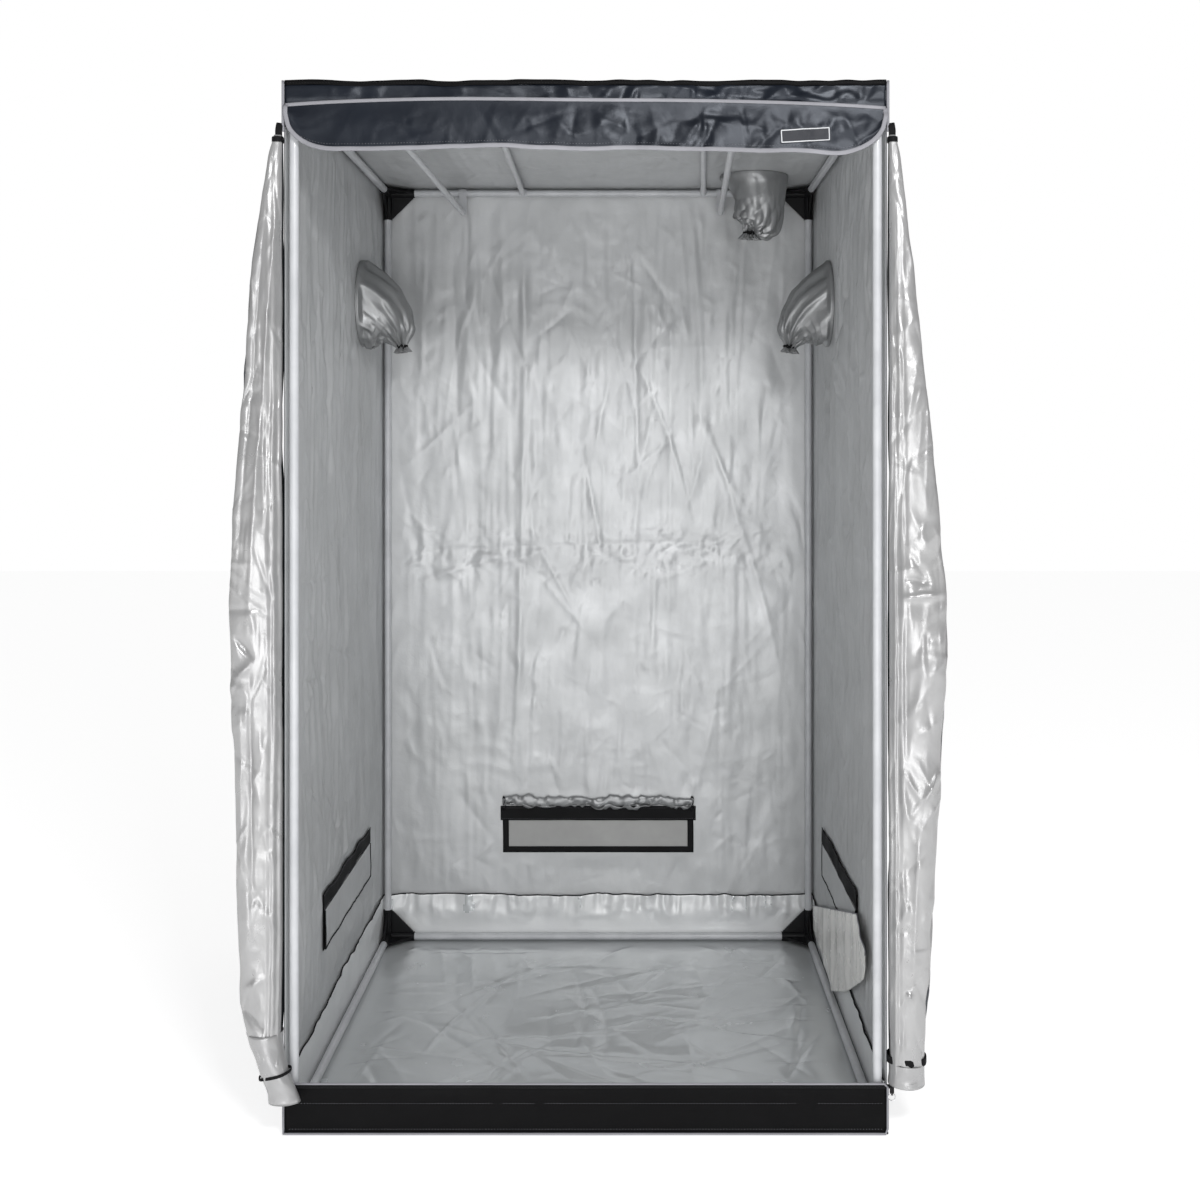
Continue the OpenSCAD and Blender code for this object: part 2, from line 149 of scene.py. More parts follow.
def mesh_piece(name, points, faces, materials, flat=None):
    """A new object from points and faces; flat is the place of each point on the cut, in metres."""
    mesh = bpy.data.meshes.new(name)
    mesh.from_pydata(np.asarray(points, float).tolist(), [], [list(map(int, f)) for f in faces])
    mesh.validate()
    for item in materials:
        mesh.materials.append(item)
    mesh.polygons.foreach_set("use_smooth", np.ones(len(mesh.polygons), bool))
    if flat is not None:
        layer = mesh.uv_layers.new(name="flat")
        corner = np.zeros(len(mesh.loops), int)
        mesh.loops.foreach_get("vertex_index", corner)
        layer.data.foreach_set("uv", np.asarray(flat, float)[corner].ravel())
    made = bpy.data.objects.new(name, mesh)
    bpy.context.scene.collection.objects.link(made)
    return made


def unit(vectors):
    """Vectors scaled to length one."""
    return vectors / np.linalg.norm(vectors, axis=-1, keepdims=True)


def travel(path):
    """The distance run at each point of a path."""
    return np.concatenate([[0], np.cumsum(np.linalg.norm(np.diff(path, axis=0), axis=1))])


def grid_of(first, second):
    """Pairs of every value of first with every value of second, in rows."""
    return np.stack(np.meshgrid(first, second, indexing="ij"), axis=-1).reshape(-1, 2)


def tube_faces(rows, count, closed=False, gap=0):
    """Faces between rows of count points. closed joins the last row to the first, gap=1 opens a side."""
    faces = []
    for k in range(rows if closed else rows - 1):
        a, b = k * count, (k + 1) % rows * count
        faces += [(a + m, a + (m + 1) % count, b + (m + 1) % count, b + m) for m in range(count - gap)]
    return faces


def points_of(xyz):
    """One array of points from three arrays or numbers."""
    return np.stack(np.broadcast_arrays(*xyz), axis=-1)


def steps(low, high, cell, snap=()):
    """Grid lines from low to high, about one cell apart, with a line on each snap value."""
    marks = sorted({low, high, *[s for s in snap if low < s < high]})
    lines = [marks[0]]
    for a, b in zip(marks, marks[1:]):
        count = max(1, round((b - a) / cell))
        lines += [a + (b - a) * k / count for k in range(1, count + 1)]
    return np.array(lines)


def grid_piece(name, us, vs, place, materials, hole=None, snap_round=None, thick=0.0):
    """A sheet over the grid us by vs. place maps (u, v) to points, and hole says which cells are open.

    snap_round is (centre u, centre v, radius): cells inside it are open and its rim is made round.
    """
    u, v = np.meshgrid(us, vs, indexing="ij")
    cols = len(vs)
    i, j = np.meshgrid(np.arange(len(us) - 1), np.arange(cols - 1), indexing="ij")
    mid_u, mid_v = (us[i] + us[i + 1]) / 2, (vs[j] + vs[j + 1]) / 2
    keep = np.ones(i.shape, bool)
    if hole is not None:
        keep &= ~hole(mid_u, mid_v)
    if snap_round is not None:
        cu, cv, radius = snap_round
        keep &= np.hypot(mid_u - cu, mid_v - cv) > radius
        reach = np.hypot(u - cu, v - cv)
        near = np.abs(reach - radius) < 0.75 * (us[1] - us[0])
        scale = np.where(near, radius / np.maximum(reach, 1e-9), 1.0)
        u, v = cu + (u - cu) * scale, cv + (v - cv) * scale
    points = points_of(place(u, v)).reshape(-1, 3)
    first = (i * cols + j)[keep]
    quads = np.stack([first, first + cols, first + cols + 1, first + 1], axis=-1)
    used, quads = np.unique(quads, return_inverse=True)
    flat = np.stack([u, v], axis=-1).reshape(-1, 2)
    made = mesh_piece(name, points[used], quads.reshape(-1, 4), materials, flat[used])
    if thick:
        shell(made, thick, 1 if len(materials) > 1 else 0)
    return made


def shell(made, thick, other=0):
    """Gives a sheet its thickness, behind its face side, with the next material on the back."""
    solid = made.modifiers.new("thickness", "SOLIDIFY")
    solid.thickness = thick
    solid.offset = -1
    solid.material_offset = other
    solid.material_offset_rim = other


def sweep(name, path, section, material, up, closed=False):
    """Carries a closed outline along a path. The outline's first number points aside, its second up."""
    path = np.asarray(path, float)
    ahead = np.gradient(path, axis=0)
    if closed:
        ahead = np.roll(path, -1, 0) - np.roll(path, 1, 0)
    ahead = unit(ahead)
    side = unit(np.cross(ahead, np.broadcast_to(np.asarray(up, float), path.shape)))
    above = np.cross(side, ahead)
    rows, count = len(path), len(section)
    points = path[:, None] + side[:, None] * section[:, :1] + above[:, None] * section[:, 1:]
    faces = tube_faces(rows, count, closed)
    if not closed:
        faces += [tuple(range(count))[::-1], tuple(range((rows - 1) * count, rows * count))]
    flat = grid_of(travel(path), np.arange(count) / count * 0.05)
    return mesh_piece(name, points.reshape(-1, 3), faces, [material], flat)


def circle(radius, sides):
    """A round outline."""
    angle = np.arange(sides) * 2 * math.pi / sides
    return np.stack([radius * np.cos(angle), radius * np.sin(angle)], axis=1)


def tape(width, thick, sides=6):
    """The outline of a flat band with rounded edges and a slightly crowned face."""
    half = width / 2
    across = np.linspace(-half, half, sides)
    crown = thick / 2 * (0.55 + 0.45 * np.sqrt(np.clip(1 - (across / half) ** 4, 0, 1)))
    upper = np.stack([across, crown], axis=1)
    return np.concatenate([upper, -upper])


def resample(path, step):
    """Points at equal distances along a path, about one step apart."""
    path = np.asarray(path, float)
    run = travel(path)
    marks = np.linspace(0, run[-1], max(2, round(run[-1] / step) + 1))
    return np.stack([np.interp(marks, run, path[:, k]) for k in range(3)], axis=1)


STITCH_PITCH = 6 * MM
STITCH_LENGTH = 3.6 * MM
STITCH_RADIUS = 0.5 * MM


def stitches(name, path, normal, material):
    """A row of thread stitches along a path, each a small spindle that stands on the cloth."""
    marks = resample(path, STITCH_PITCH)
    ahead = unit(np.gradient(marks, axis=0))
    normal = np.broadcast_to(np.asarray(normal, float), marks.shape)
    ring = circle(STITCH_RADIUS, 5)
    points, faces = [], []
    for centre, forward, aside, up in zip(marks, ahead, np.cross(ahead, normal), normal):
        base = len(points)
        points.append(centre - forward * STITCH_LENGTH / 2)
        points += [centre + aside * a + up * b for a, b in ring]
        points.append(centre + forward * STITCH_LENGTH / 2)
        faces += [(base, base + 1 + (k + 1) % 5, base + 1 + k) for k in range(5)]
        faces += [(base + 6, base + 1 + k, base + 1 + (k + 1) % 5) for k in range(5)]
    return mesh_piece(name, points, faces, [material])


# ---------------------------------------------------------------- materials


def node(tree, kind, inputs=None, **settings):
    """One shader node; an input is a value or another node's output."""
    made = tree.nodes.new("ShaderNode" + kind)
    for key, value in settings.items():
        setattr(made, key, value)
    for key, value in (inputs or {}).items():
        if isinstance(value, bpy.types.NodeSocket):
            tree.links.new(value, made.inputs[key])
        else:
            made.inputs[key].default_value = value
    return made


def ramp(tree, value, stops):
    """A colour ramp from (position, grey or colour) pairs."""
    made = node(tree, "ValToRGB", {"Fac": value})
    band = made.color_ramp
    while len(band.elements) < len(stops):
        band.elements.new(0.5)
    for element, (position, tone) in zip(band.elements, stops):
        element.position = position
        element.color = (*tone, 1) if hasattr(tone, "__len__") else (tone, tone, tone, 1)
    return made.outputs["Color"]


def clouds(tree, place, scale, detail, rough=0.5, distortion=0.0, **settings):
    """The value of a noise texture."""
    inputs = {"Vector": place, "Scale": scale, "Detail": detail, "Roughness": rough, "Distortion": distortion}
    return node(tree, "TexNoise", inputs, **settings).outputs["Fac"]


def bump(tree, height, depth, strength, under=None):
    """Relief, depth in mm, on top of the relief under it."""
    inputs = {"Height": height, "Distance": depth * MM, "Strength": strength}
    if under is not None:
        inputs["Normal"] = under
    return node(tree, "Bump", inputs).outputs["Normal"]


def material(name, sockets):
    """A new material, its tree and its Principled shader with plain values set."""
    made = bpy.data.materials.new(name)
    made.use_nodes = True
    shader = made.node_tree.nodes["Principled BSDF"]
    for key, value in sockets.items():
        shader.inputs[key].default_value = value
    return made, made.node_tree, shader


WAVE_LENGTH = 0.314  # metres between the bands of a wave texture of scale 1


def fabric(name, dark, light, sockets, thread, weave, wrinkle, soft_scale=2.5, crinkle=0.0):
    """Woven cloth or coated film: mottled colour, threads over the flat cut and fine wrinkles.

    In mm: thread is the pitch, and weave, wrinkle and crinkle are depths, the last one that of the
    sharp creases that stay in coated film.
    """
    made, tree, shader = material(name, sockets)
    place = node(tree, "UVMap", uv_map="flat").outputs["UV"]
    mottle = clouds(tree, place, soft_scale, 6.0, 0.65)
    tree.links.new(ramp(tree, mottle, [(0.3, dark), (0.7, light)]), shader.inputs["Base Color"])
    bands = {"Vector": place, "Scale": WAVE_LENGTH / (thread * MM)}
    across, along = [node(tree, "TexWave", bands, bands_direction=way).outputs["Fac"] for way in "XY"]
    threads = node(tree, "Math", {0: across, 1: along}, operation="MULTIPLY").outputs[0]
    relief = bump(tree, threads, weave, 0.5)
    relief = bump(tree, clouds(tree, place, 26.0, 7.0, 0.62, 0.6), wrinkle, 0.7, relief)
    if crinkle:
        inputs = {"Vector": place, "Scale": (1.0, 0.55, 1.0), "Rotation": (0, 0, 0.35)}
        stretched = node(tree, "Mapping", inputs).outputs[0]
        for scale, depth in ((5.0, crinkle), (17.0, 0.4 * crinkle)):
            sharp = clouds(tree, stretched, scale, 5.0, 0.55, 0.5, noise_type="RIDGED_MULTIFRACTAL")
            relief = bump(tree, sharp, depth, 0.8, relief)
    tree.links.new(relief, shader.inputs["Normal"])
    worn, base = clouds(tree, place, 9.0, 5.0), sockets["Roughness"]
    spread = {"Value": worn, "From Min": 0.3, "From Max": 0.7, "To Min": base - 0.07, "To Max": base + 0.09}
    tree.links.new(node(tree, "MapRange", spread).outputs["Result"], shader.inputs["Roughness"])
    return made


def moulded(name, dark, light, sockets, grain, depth):
    """Paint, plastic or metal: faint colour variation and a fine surface grain, its depth in mm."""
    made, tree, shader = material(name, sockets)
    place = node(tree, "TexCoord").outputs["Object"]
    slow = clouds(tree, place, 14.0, 5.0, 0.6)
    tree.links.new(ramp(tree, slow, [(0.35, dark), (0.7, light)]), shader.inputs["Base Color"])
    tree.links.new(bump(tree, clouds(tree, place, grain, 3.0), depth, 0.5), shader.inputs["Normal"])
    return made


FILM = {"Metallic": 0.32, "Roughness": 0.44}
DOOR_FILM = {"Metallic": 0.40, "Roughness": 0.31}
SOCK_FILM = {"Metallic": 0.55, "Roughness": 0.38}
TRAY_FILM = {"Metallic": 0.3, "Roughness": 0.2}
OXFORD = {"Roughness": 0.55, "Sheen Weight": 0.15, "Sheen Roughness": 0.5}
HEADER = {"Roughness": 0.36, "Specular IOR Level": 0.45, "Specular Tint": (0.86, 0.91, 1.0, 1.0)}
SILL = {"Roughness": 0.5, "Specular IOR Level": 0.07}
WEBBING = {"Roughness": 0.7, "Specular IOR Level": 0.15}
POUCH = {"Roughness": 0.25, "Alpha": 0.97}
NET = {"Roughness": 0.8, "Alpha": 0.82}
PAINT = {"Roughness": 0.35, "Coat Weight": 0.2}
PLASTIC = {"Roughness": 0.45, "Specular IOR Level": 0.2}
CHROME = {"Metallic": 1.0, "Roughness": 0.25}
DULL = {"Roughness": 0.6}
THREAD = {"Roughness": 0.8}
STAGE = {"Roughness": 0.9, "Emission Color": (1, 1, 1, 1), "Emission Strength": 0.68}

silver = fabric("silver_film", (0.50, 0.51, 0.515), (0.61, 0.62, 0.63), FILM, 1.4, 0.05, 1.0, crinkle=9)
# The doors are the walls' silver film; this darker copy is painted shade on the doors and their foot hems.
door_silver_painted_shade = fabric("door_film_painted_shade", (0.37, 0.37, 0.375), 0.46, DOOR_FILM, 1.4, 0.05, 1.4, crinkle=8)
sock_silver = fabric(
    "sock_film", (0.24, 0.245, 0.25), (0.36, 0.365, 0.37), SOCK_FILM, 1.4, 0.05, 1.6, crinkle=3
)
tray_film = fabric("tray_film", (0.62, 0.64, 0.65), (0.70, 0.72, 0.73), TRAY_FILM, 1.4, 0.03, 0.4, 1.2, 2.5)
# The tray's walls are the same film as its floor; this lighter copy is painted light on the walls.
tray_film_painted_light = fabric(
    "tray_wall_film_painted_light", (0.78, 0.79, 0.80), (0.90, 0.91, 0.91), FILM, 1.4, 0.03, 0.8, crinkle=3
)
oxford = fabric("outer_oxford", (0.022, 0.025, 0.033), (0.034, 0.038, 0.048), OXFORD, 1.1, 0.18, 1.1)
header_cloth = fabric(
    "header_oxford", (0.002, 0.003, 0.006), (0.005, 0.008, 0.015), HEADER, 1.1, 0.08, 0.7, 1.3, 1.5
)
sill_cloth = fabric("sill_oxford", (0.003, 0.003, 0.0033), (0.005, 0.005, 0.0055), SILL, 1.1, 0.14, 1.0)
webbing = fabric("black_webbing", (0.005, 0.005, 0.0055), (0.010, 0.010, 0.011), WEBBING, 2.2, 0.4, 0.4)
piping_cloth = fabric("grey_piping", (0.22, 0.22, 0.24), (0.34, 0.34, 0.37), DULL, 1.6, 0.2, 0.4)
patch_cloth = fabric("patch_cloth", (0.018, 0.020, 0.026), (0.028, 0.030, 0.038), DULL, 0.9, 0.2, 0.4)
pocket_film = fabric("pocket_film", (0.93, 0.92, 0.89), (0.99, 0.98, 0.95), POUCH, 3, 0.02, 1.0, crinkle=2)
screen_net = fabric("screen_net", (0.36, 0.36, 0.355), (0.50, 0.50, 0.49), NET, 1.6, 0.5, 0.3)
white_coat = moulded("white_powder_coat", (0.50, 0.51, 0.53), (0.60, 0.61, 0.63), PAINT, 900.0, 0.04)
black_plastic = moulded("black_plastic", (0.006, 0.006, 0.007), (0.012, 0.012, 0.013), PLASTIC, 1500.0, 0.1)
chrome_wire = moulded("bright_wire", (0.62, 0.62, 0.63), (0.72, 0.72, 0.73), CHROME, 600.0, 0.02)
thread_grey = moulded("grey_thread", (0.16, 0.16, 0.18), (0.24, 0.24, 0.26), THREAD, 3000.0, 0.1)
thread_black = moulded("black_thread", (0.012, 0.012, 0.013), (0.02, 0.02, 0.022), THREAD, 3000.0, 0.1)
label_edge = moulded("label_border_thread", (0.55, 0.56, 0.58), (0.70, 0.71, 0.73), DULL, 2500.0, 0.1)
webbing_solid = moulded(
    "collar_cloth", (0.012, 0.012, 0.013), (0.022, 0.022, 0.024), {"Roughness": 0.75}, 900.0, 0.3
)
stage_white = moulded("stage_white", 0.90, 0.91, STAGE, 5.0, 0.0)


# ---------------------------------------------------------------- fixing pieces to the frame


def fix(made, nodes=(), body="tent"):
    """Rides a piece on its body and hides the CAD nodes that it stands for."""
    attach(made, body)
    if nodes:
        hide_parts(*nodes)
    return made


def trim(name, path, section, cloth, up, body="tent", closed=False):
    """An edging, hem or cord along a path, fixed to its body."""
    return fix(sweep(name, path, section, cloth, up, closed), body=body)


def sew(name, path, normal, thread, body="tent"):
    """A row of stitches along a path, fixed to its body."""
    return fix(stitches(name, path, normal, thread), body=body)


# ---------------------------------------------------------------- the cabin's walls


def vent_box(side):
    """(low, high) of a vent frame along its wall, and its z range."""
    low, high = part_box(f"vent_frame_{side}")
    if side == "back":
        return low.x, high.x, low.z, high.z
    return low.y, high.y, low.z, high.z


def port_place(side):
    """Centre of a port along its wall, its height or second place, and the radius of its hole."""
    low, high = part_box(f"port_collar_{side}")
    if side == "roof":
        return (low.x + high.x) / 2, (low.y + high.y) / 2, (high.x - low.x) / 2 - PORT_SLACK
    return (low.y + high.y) / 2, (low.z + high.z) / 2, (high.z - low.z) / 2 - PORT_SLACK


VENT_BORDER = 17 * MM
VENT_STRIP = 40 * MM


def still(u, v, width, height, vent, port):
    """Zero where tubes, vents and ports hold the cloth flat, and one in the open."""
    edge = np.minimum(np.minimum(u - width[0], width[1] - u), np.minimum(v - height[0], height[1] - v))
    free = 0.55 * smooth((edge - 0.022) / 0.06) + 0.45 * smooth((edge - 0.022) / 0.30)
    if vent is not None:
        out_u = np.maximum(vent[0] - u, u - vent[1])
        out_v = np.maximum(vent[2] - v, v - vent[3])
        free = free * smooth((np.hypot(np.maximum(out_u, 0), np.maximum(out_v, 0)) - 0.004) / 0.05)
        free = free * smooth((v - 0.125) / 0.08)
    if port is not None:
        free = free * smooth((np.hypot(u - port[0], v - port[1]) - port[2] - 0.01) / 0.07)
    return free


def wall_relief(u, v, area, seed, strength):
    """How far a hanging wall stands off its plane."""
    relief = 3.5 * MM * noise(u, v, 0.45, seed)
    relief += 1.6 * MM * noise(u, v / 7, 0.11, seed + 1)
    relief += 1.1 * MM * crumple(u, v / 1.8, 0.17, seed + 2)
    relief += 0.55 * MM * crumple(u, v, 0.065, seed + 3)
    relief += creases(u, v, area, seed + 4, 120, 2.8 * MM, 0.8)
    relief += creases(u, v, area, seed + 5, 320, 1.8 * MM, 0.3, 0.3)
    relief += 2.2 * MM * crumple(u, v / 9, 0.05, seed + 6) * (0.5 + 0.5 * smooth((v - 0.7) / 1.1))
    relief += 0.7 * MM * crumple(u, v / 12, 0.024, seed + 7)
    return strength * relief


def wall(side, width, height, spot, inward, seed, more=None, strength=1.0):
    """One wall of the cabin: silver film inside and dark cloth outside.

    spot(u, v) gives the point on the wall's inner plane, and inward is the direction into the tent.
    """
    vent = None if side == "roof" else vent_box(side)
    port = None if side == "back" else port_place(side)
    snap_u, snap_v, opening = [], [], None
    if vent is not None:
        snap_u = [vent[0] + VENT_BORDER, vent[1] - VENT_BORDER]
        snap_v = [vent[2] + VENT_BORDER, vent[3] - VENT_STRIP - 3 * MM]

        def opening(u, v):
            return inside(u, v, (*snap_u, *snap_v))

    def place(u, v):
        depth = wall_relief(u, v, (*width, *height), seed, strength)
        if more is not None:
            depth = depth + more(u, v)
        depth = depth * still(u, v, width, height, vent, port)
        return [a + depth * n for a, n in zip(spot(u, v), inward)]

    us, vs = steps(*width, CELL, snap_u), steps(*height, CELL, snap_v)
    made = grid_piece(f"wall_{side}", us, vs, place, [silver, oxford], opening, port, 1.6 * MM)
    fix(made, [f"{side}_panel"])
    return made


# Single creases of the walls: start and end (along, height) in metres, width and height in mm, and bend.
BACK_FOLDS = (
    ((-0.215, 2.05), (-0.235, 0.55), 10, 6, 0.02), ((0.10, 1.95), (0.115, 1.25), 12, -6, 0),
    ((0.06, 1.72), (0.27, 1.16), 9, 5, 0.3), ((-0.20, 1.18), (-0.05, 0.90), 8, 5, 0),
    ((-0.05, 1.42), (0.02, 1.05), 8, -5, 0), ((-0.56, 1.10), (0.52, 1.13), 9, -3.5, 0.02),
    ((0.36, 1.28), (0.52, 0.72), 9, 4.5, 0.2), ((-0.22, 1.10), (-0.58, 0.98), 10, 5, -0.3),
    ((0.20, 2.05), (0.18, 0.45), 16, 4, 0.02), ((-0.42, 2.0), (-0.40, 1.2), 13, -4.5, 0.05),
)
LEFT_FOLDS = (
    ((-0.52, 1.105), (-0.08, 1.085), 5, -6, 0.08), ((-0.50, 0.895), (-0.14, 0.865), 5, -5, -0.1),
    ((-0.30, 1.12), (-0.36, 0.78), 12, 8, 0),
)


def back_more(u, v):
    """The back wall's long folds, and the belt of fine creases across its middle."""
    belt = np.exp(-(((v - 1.10) / 0.07) ** 2))
    relief = folds(u, v, BACK_FOLDS)
    relief += belt * (2.2 * MM * crumple(u, v, 0.06, 71) + 1.2 * MM * crumple(u, v, 0.028, 75))
    relief += creases(u, v, (-0.55, 0.55, 1.02, 1.20), 79, 45, 3.5 * MM, -0.2, 0.5)
    relief += creases(u, v, (-0.55, 0.55, 1.25, 2.05), 83, 26, 4.5 * MM, 0.95, 1.3)
    return relief


def left_more(u, v):
    """The left wall's two thin level creases and its upright one."""
    return folds(u, v, LEFT_FOLDS)


SIDE_STRENGTH = 2.7


def walls():
    """The back, the sides and the roof. The last two made are turned over, so that their film is inside."""
    wide, deep, high = (-INNER_W, INNER_W), (FRONT, BACK), (2 * MM, TOP - SKIN)
    wall("back", wide, high, lambda u, v: (u, BACK - SKIN, v), (0, -1, 0), 11, back_more)
    wall("left", deep, high, lambda u, v: (-INNER_W, u, v), (1, 0, 0), 23, left_more, SIDE_STRENGTH)
    right = wall("right", deep, high, lambda u, v: (INNER_W, u, v), (-1, 0, 0), 37, None, SIDE_STRENGTH)
    roof = wall("roof", wide, (FRONT, BACK - SKIN), lambda u, v: (u, v, TOP - SKIN), (0, 0, -1), 41)
    for made in (right, roof):
        made.data.flip_normals()


# ---------------------------------------------------------------- front: header, sill, valance, patch


# Heights: the header is sewn flat below the first, the valance's seam lies at the second, and the
# piping at the header's ends starts at the third.
HEADER_SEAM = 2.088
VALANCE_TOP = 2.083
PIPING_LOW = 2.030


def flatten(made):
    """Gives a piece of the header its own copy of its mesh."""
    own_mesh(made)


def header():
    """The dark panel above the doorway, with the black strip where the roof joins it."""
    z_low, z_high = HEADER_LOW, TOP - 4 * MM

    def place(u, v):
        free = smooth((v - HEADER_SEAM) / 0.012) * smooth((z_high + 4 * MM - v) / 0.012)
        slack = 0.35 + 0.75 * smooth((u + 0.35) / 0.5)
        relief = 4.0 * MM * noise(u, v, 0.13, 301) + 5.0 * MM * crumple(u, v, 0.075, 302)
        relief += creases(u, v, (-INNER_W, INNER_W, z_low, z_high), 303, 70, 4 * MM, 0.2, 0.8)
        return u, FRONT - np.maximum(3 * MM + relief * slack, -2 * MM) * free, v

    us, vs = steps(-INNER_W, INNER_W, 5 * MM), steps(z_low, z_high, 4 * MM)
    made = grid_piece("header", us, vs, place, [header_cloth, silver], thick=1.5 * MM)
    flatten(fix(made, ["front_header"]))

    def strip_place(u, v):
        wave = 2.4 * MM * noise(u, 0 * u, 0.09, 311) + 1.2 * MM * noise(u, 0 * u, 0.033, 312)
        return u, FRONT - 3 * MM - 1.5 * MM * noise(u, v, 0.06, 313), TOP - 6 * MM + v + wave

    cloths = [sill_cloth, sill_cloth]
    edge = grid_piece("roof_edge_strip", us, steps(0, 10 * MM, 3 * MM), strip_place, cloths, thick=1.5 * MM)
    flatten(fix(edge))
    row = [(x, FRONT - 5.2 * MM, TOP - 2 * MM) for x in np.linspace(-INNER_W, INNER_W, 60)]
    seam = sew("roof_edge_stitches", row, (0, -1, 0), thread_black)
    flatten(seam)
    for side, sign in SIDES:
        x = sign * (HALF_W + 1.5 * MM)
        line = [(x, FRONT - 2 * MM, z) for z in np.linspace(PIPING_LOW, TOP + 3 * MM, 12)]
        trim(f"header_piping_{side}", line, circle(3 * MM, 10), piping_cloth, (0, -1, 0))


def valance_top(u):
    """Height of the valance's seam, a little arched between its ends."""
    arch = 0.010 * (1 - np.abs(u / 0.606) ** 5) + 0.003 * np.exp(-(((u + 0.25) / 0.2) ** 2))
    return VALANCE_TOP + arch - 0.006 * smooth((u - 0.1) / 0.5)


def valance_depth(u):
    """Depth of the valance below its seam, with elliptical lower corners."""
    low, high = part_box("valance_flap")
    corner_w, corner_h = 110 * MM, 78 * MM
    into = np.clip((np.abs(u) - (high.x - corner_w)) / corner_w, 0, 1)
    wave = 3.5 * MM * noise(u, 0 * u, 0.085, 325) * (1 - into)
    return (high.z - low.z) - corner_h * (1 - np.sqrt(np.clip(1 - into**2, 0, 1))) + 0.006 + wave


# The plane behind the valance.
VALANCE_BACK = -0.6118


def hang_from_seam(made):
    """Bakes the placement of a piece of the valance into its mesh."""
    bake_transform(made)


def valance():
    """The flap over the doorway, rounded at its lower corners, with grey piping and a seam."""
    low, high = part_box("valance_flap")
    half, depth = high.x, high.z - low.z

    def drop(u, v):
        hang = smooth(v / 0.05)
        slack = 0.3 + 0.8 * smooth((u + 0.2) / 0.45)
        relief = 2.5 * MM * noise(u, v, 0.12, 321) + 4.5 * MM * crumple(u, v, 0.095, 323) * slack
        relief += 1.4 * MM * crumple(u, v, 0.04, 322) * slack
        relief += creases(u, v, (-half, half, 0, depth), 324, 70, 4.0 * MM, 0.25, 0.8) * slack
        return 2.2 * MM + np.clip(relief + 3.0 * MM, -0.5 * MM, 7.0 * MM) * hang

    def place(u, v):
        return u, VALANCE_BACK - drop(u, v), valance_top(u) - v / depth * valance_depth(u)

    us, vs = steps(-half, half, 4.5 * MM), steps(0, depth, 4 * MM)
    made = grid_piece("valance", us, vs, place, [header_cloth, silver], thick=0.9 * MM)
    made.data.flip_normals()
    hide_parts("valance_flap")
    hang_from_seam(made)

    def rim(u, v, proud=0.6 * MM):
        return points_of(place(u, v)) - [0, proud, 0]

    run = np.linspace(-half, half, 220)
    foot = rim(run, np.full_like(run, depth))
    ends = [rim(np.full(6, s), np.linspace(0, depth, 6)) for s in (-half, half)]
    around = resample(np.concatenate([ends[0], foot, ends[1][::-1]]), 6 * MM)
    hem = sweep("valance_hem", around, tape(9 * MM, 3.4 * MM), piping_cloth, (0, -1, 0))
    hang_from_seam(hem)
    top = resample(rim(run, np.zeros_like(run)), 12 * MM)
    seam = trim("valance_seam", top, tape(7 * MM, 4 * MM), piping_cloth, (0, -1, 0))
    inset = rim(run[6:-6], np.full(208, 0.90 * depth), 1.4 * MM)
    sewn = sew("valance_stitches", inset, (0, -1, 0), thread_grey, "valance")
    label(place, depth)


def label(place, depth):
    """The blank sewn patch, tilted a little, with a pale woven border."""
    low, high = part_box("label_patch")
    centre, size, tilt = (low + high) / 2, (100 * MM, 28 * MM), math.radians(3)

    def on_patch(u, v):
        x = centre.x + u * math.cos(tilt) - v * math.sin(tilt)
        z = centre.z + u * math.sin(tilt) + v * math.cos(tilt)
        under = place(x, (valance_top(x) - z) / valance_depth(x) * depth)[1]
        return x, np.minimum(under - 1.2 * MM, low.y + 0.4 * MM), z

    us, vs = [steps(-extent / 2, extent / 2, 2 * MM) for extent in size]
    made = grid_piece("label_patch_cloth", us, vs, on_patch, [patch_cloth], thick=0.8 * MM)
    fix(made, ["label_patch"], "valance")
    w, h = size[0] / 2 - 2 * MM, size[1] / 2 - 2 * MM
    square = [(-w, -h), (w, -h), (w, h), (-w, h), (-w, -h)]
    loop = np.concatenate([np.linspace(a, b, 24)[:-1] for a, b in zip(square, square[1:])])
    path = points_of(on_patch(loop[:, 0], loop[:, 1])) - [0, 0.9 * MM, 0]
    edge = trim("label_border", path, tape(2.2 * MM, 0.9 * MM), label_edge, (0, -1, 0), "valance", True)


def sill():
    """The band below the doorway, with grey piping all round and two rows of stitches."""
    low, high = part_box("front_sill")

    def place(u, v):
        free = smooth((v - 0.008) / 0.02) * smooth((0.094 - v) / 0.012)
        relief = 1.6 * MM * noise(u, v, 0.16, 331) + 1.2 * MM * crumple(u, v, 0.09, 332)
        relief += creases(u, v, (low.x, high.x, low.z, high.z), 333, 30, 1.8 * MM, 0.2)
        return u, FRONT - (2 * MM + relief) * free, v

    us, vs = steps(low.x, high.x, 5 * MM), steps(low.z, high.z, 4 * MM)
    made = grid_piece("sill", us, vs, place, [sill_cloth, tray_film], thick=1.5 * MM)
    fix(made, ["front_sill"])
    x, y, foot, top = HALF_W + 1 * MM, FRONT - 2.5 * MM, 4 * MM, high.z + 2 * MM
    loop = resample([(-x, y, foot), (x, y, foot), (x, y, top), (-x, y, top), (-x, y, foot)], 14 * MM)[:-1]
    pieces = [trim("sill_piping", loop, circle(2.3 * MM, 8), piping_cloth, (0, -1, 0), closed=True)]
    for k, z in enumerate((14 * MM, 66 * MM)):
        row = [(a, FRONT - 3.6 * MM, z) for a in np.linspace(low.x + 0.01, high.x - 0.01, 40)]
        pieces.append(sew(f"sill_stitches_{k}", row, (0, -1, 0), thread_grey))


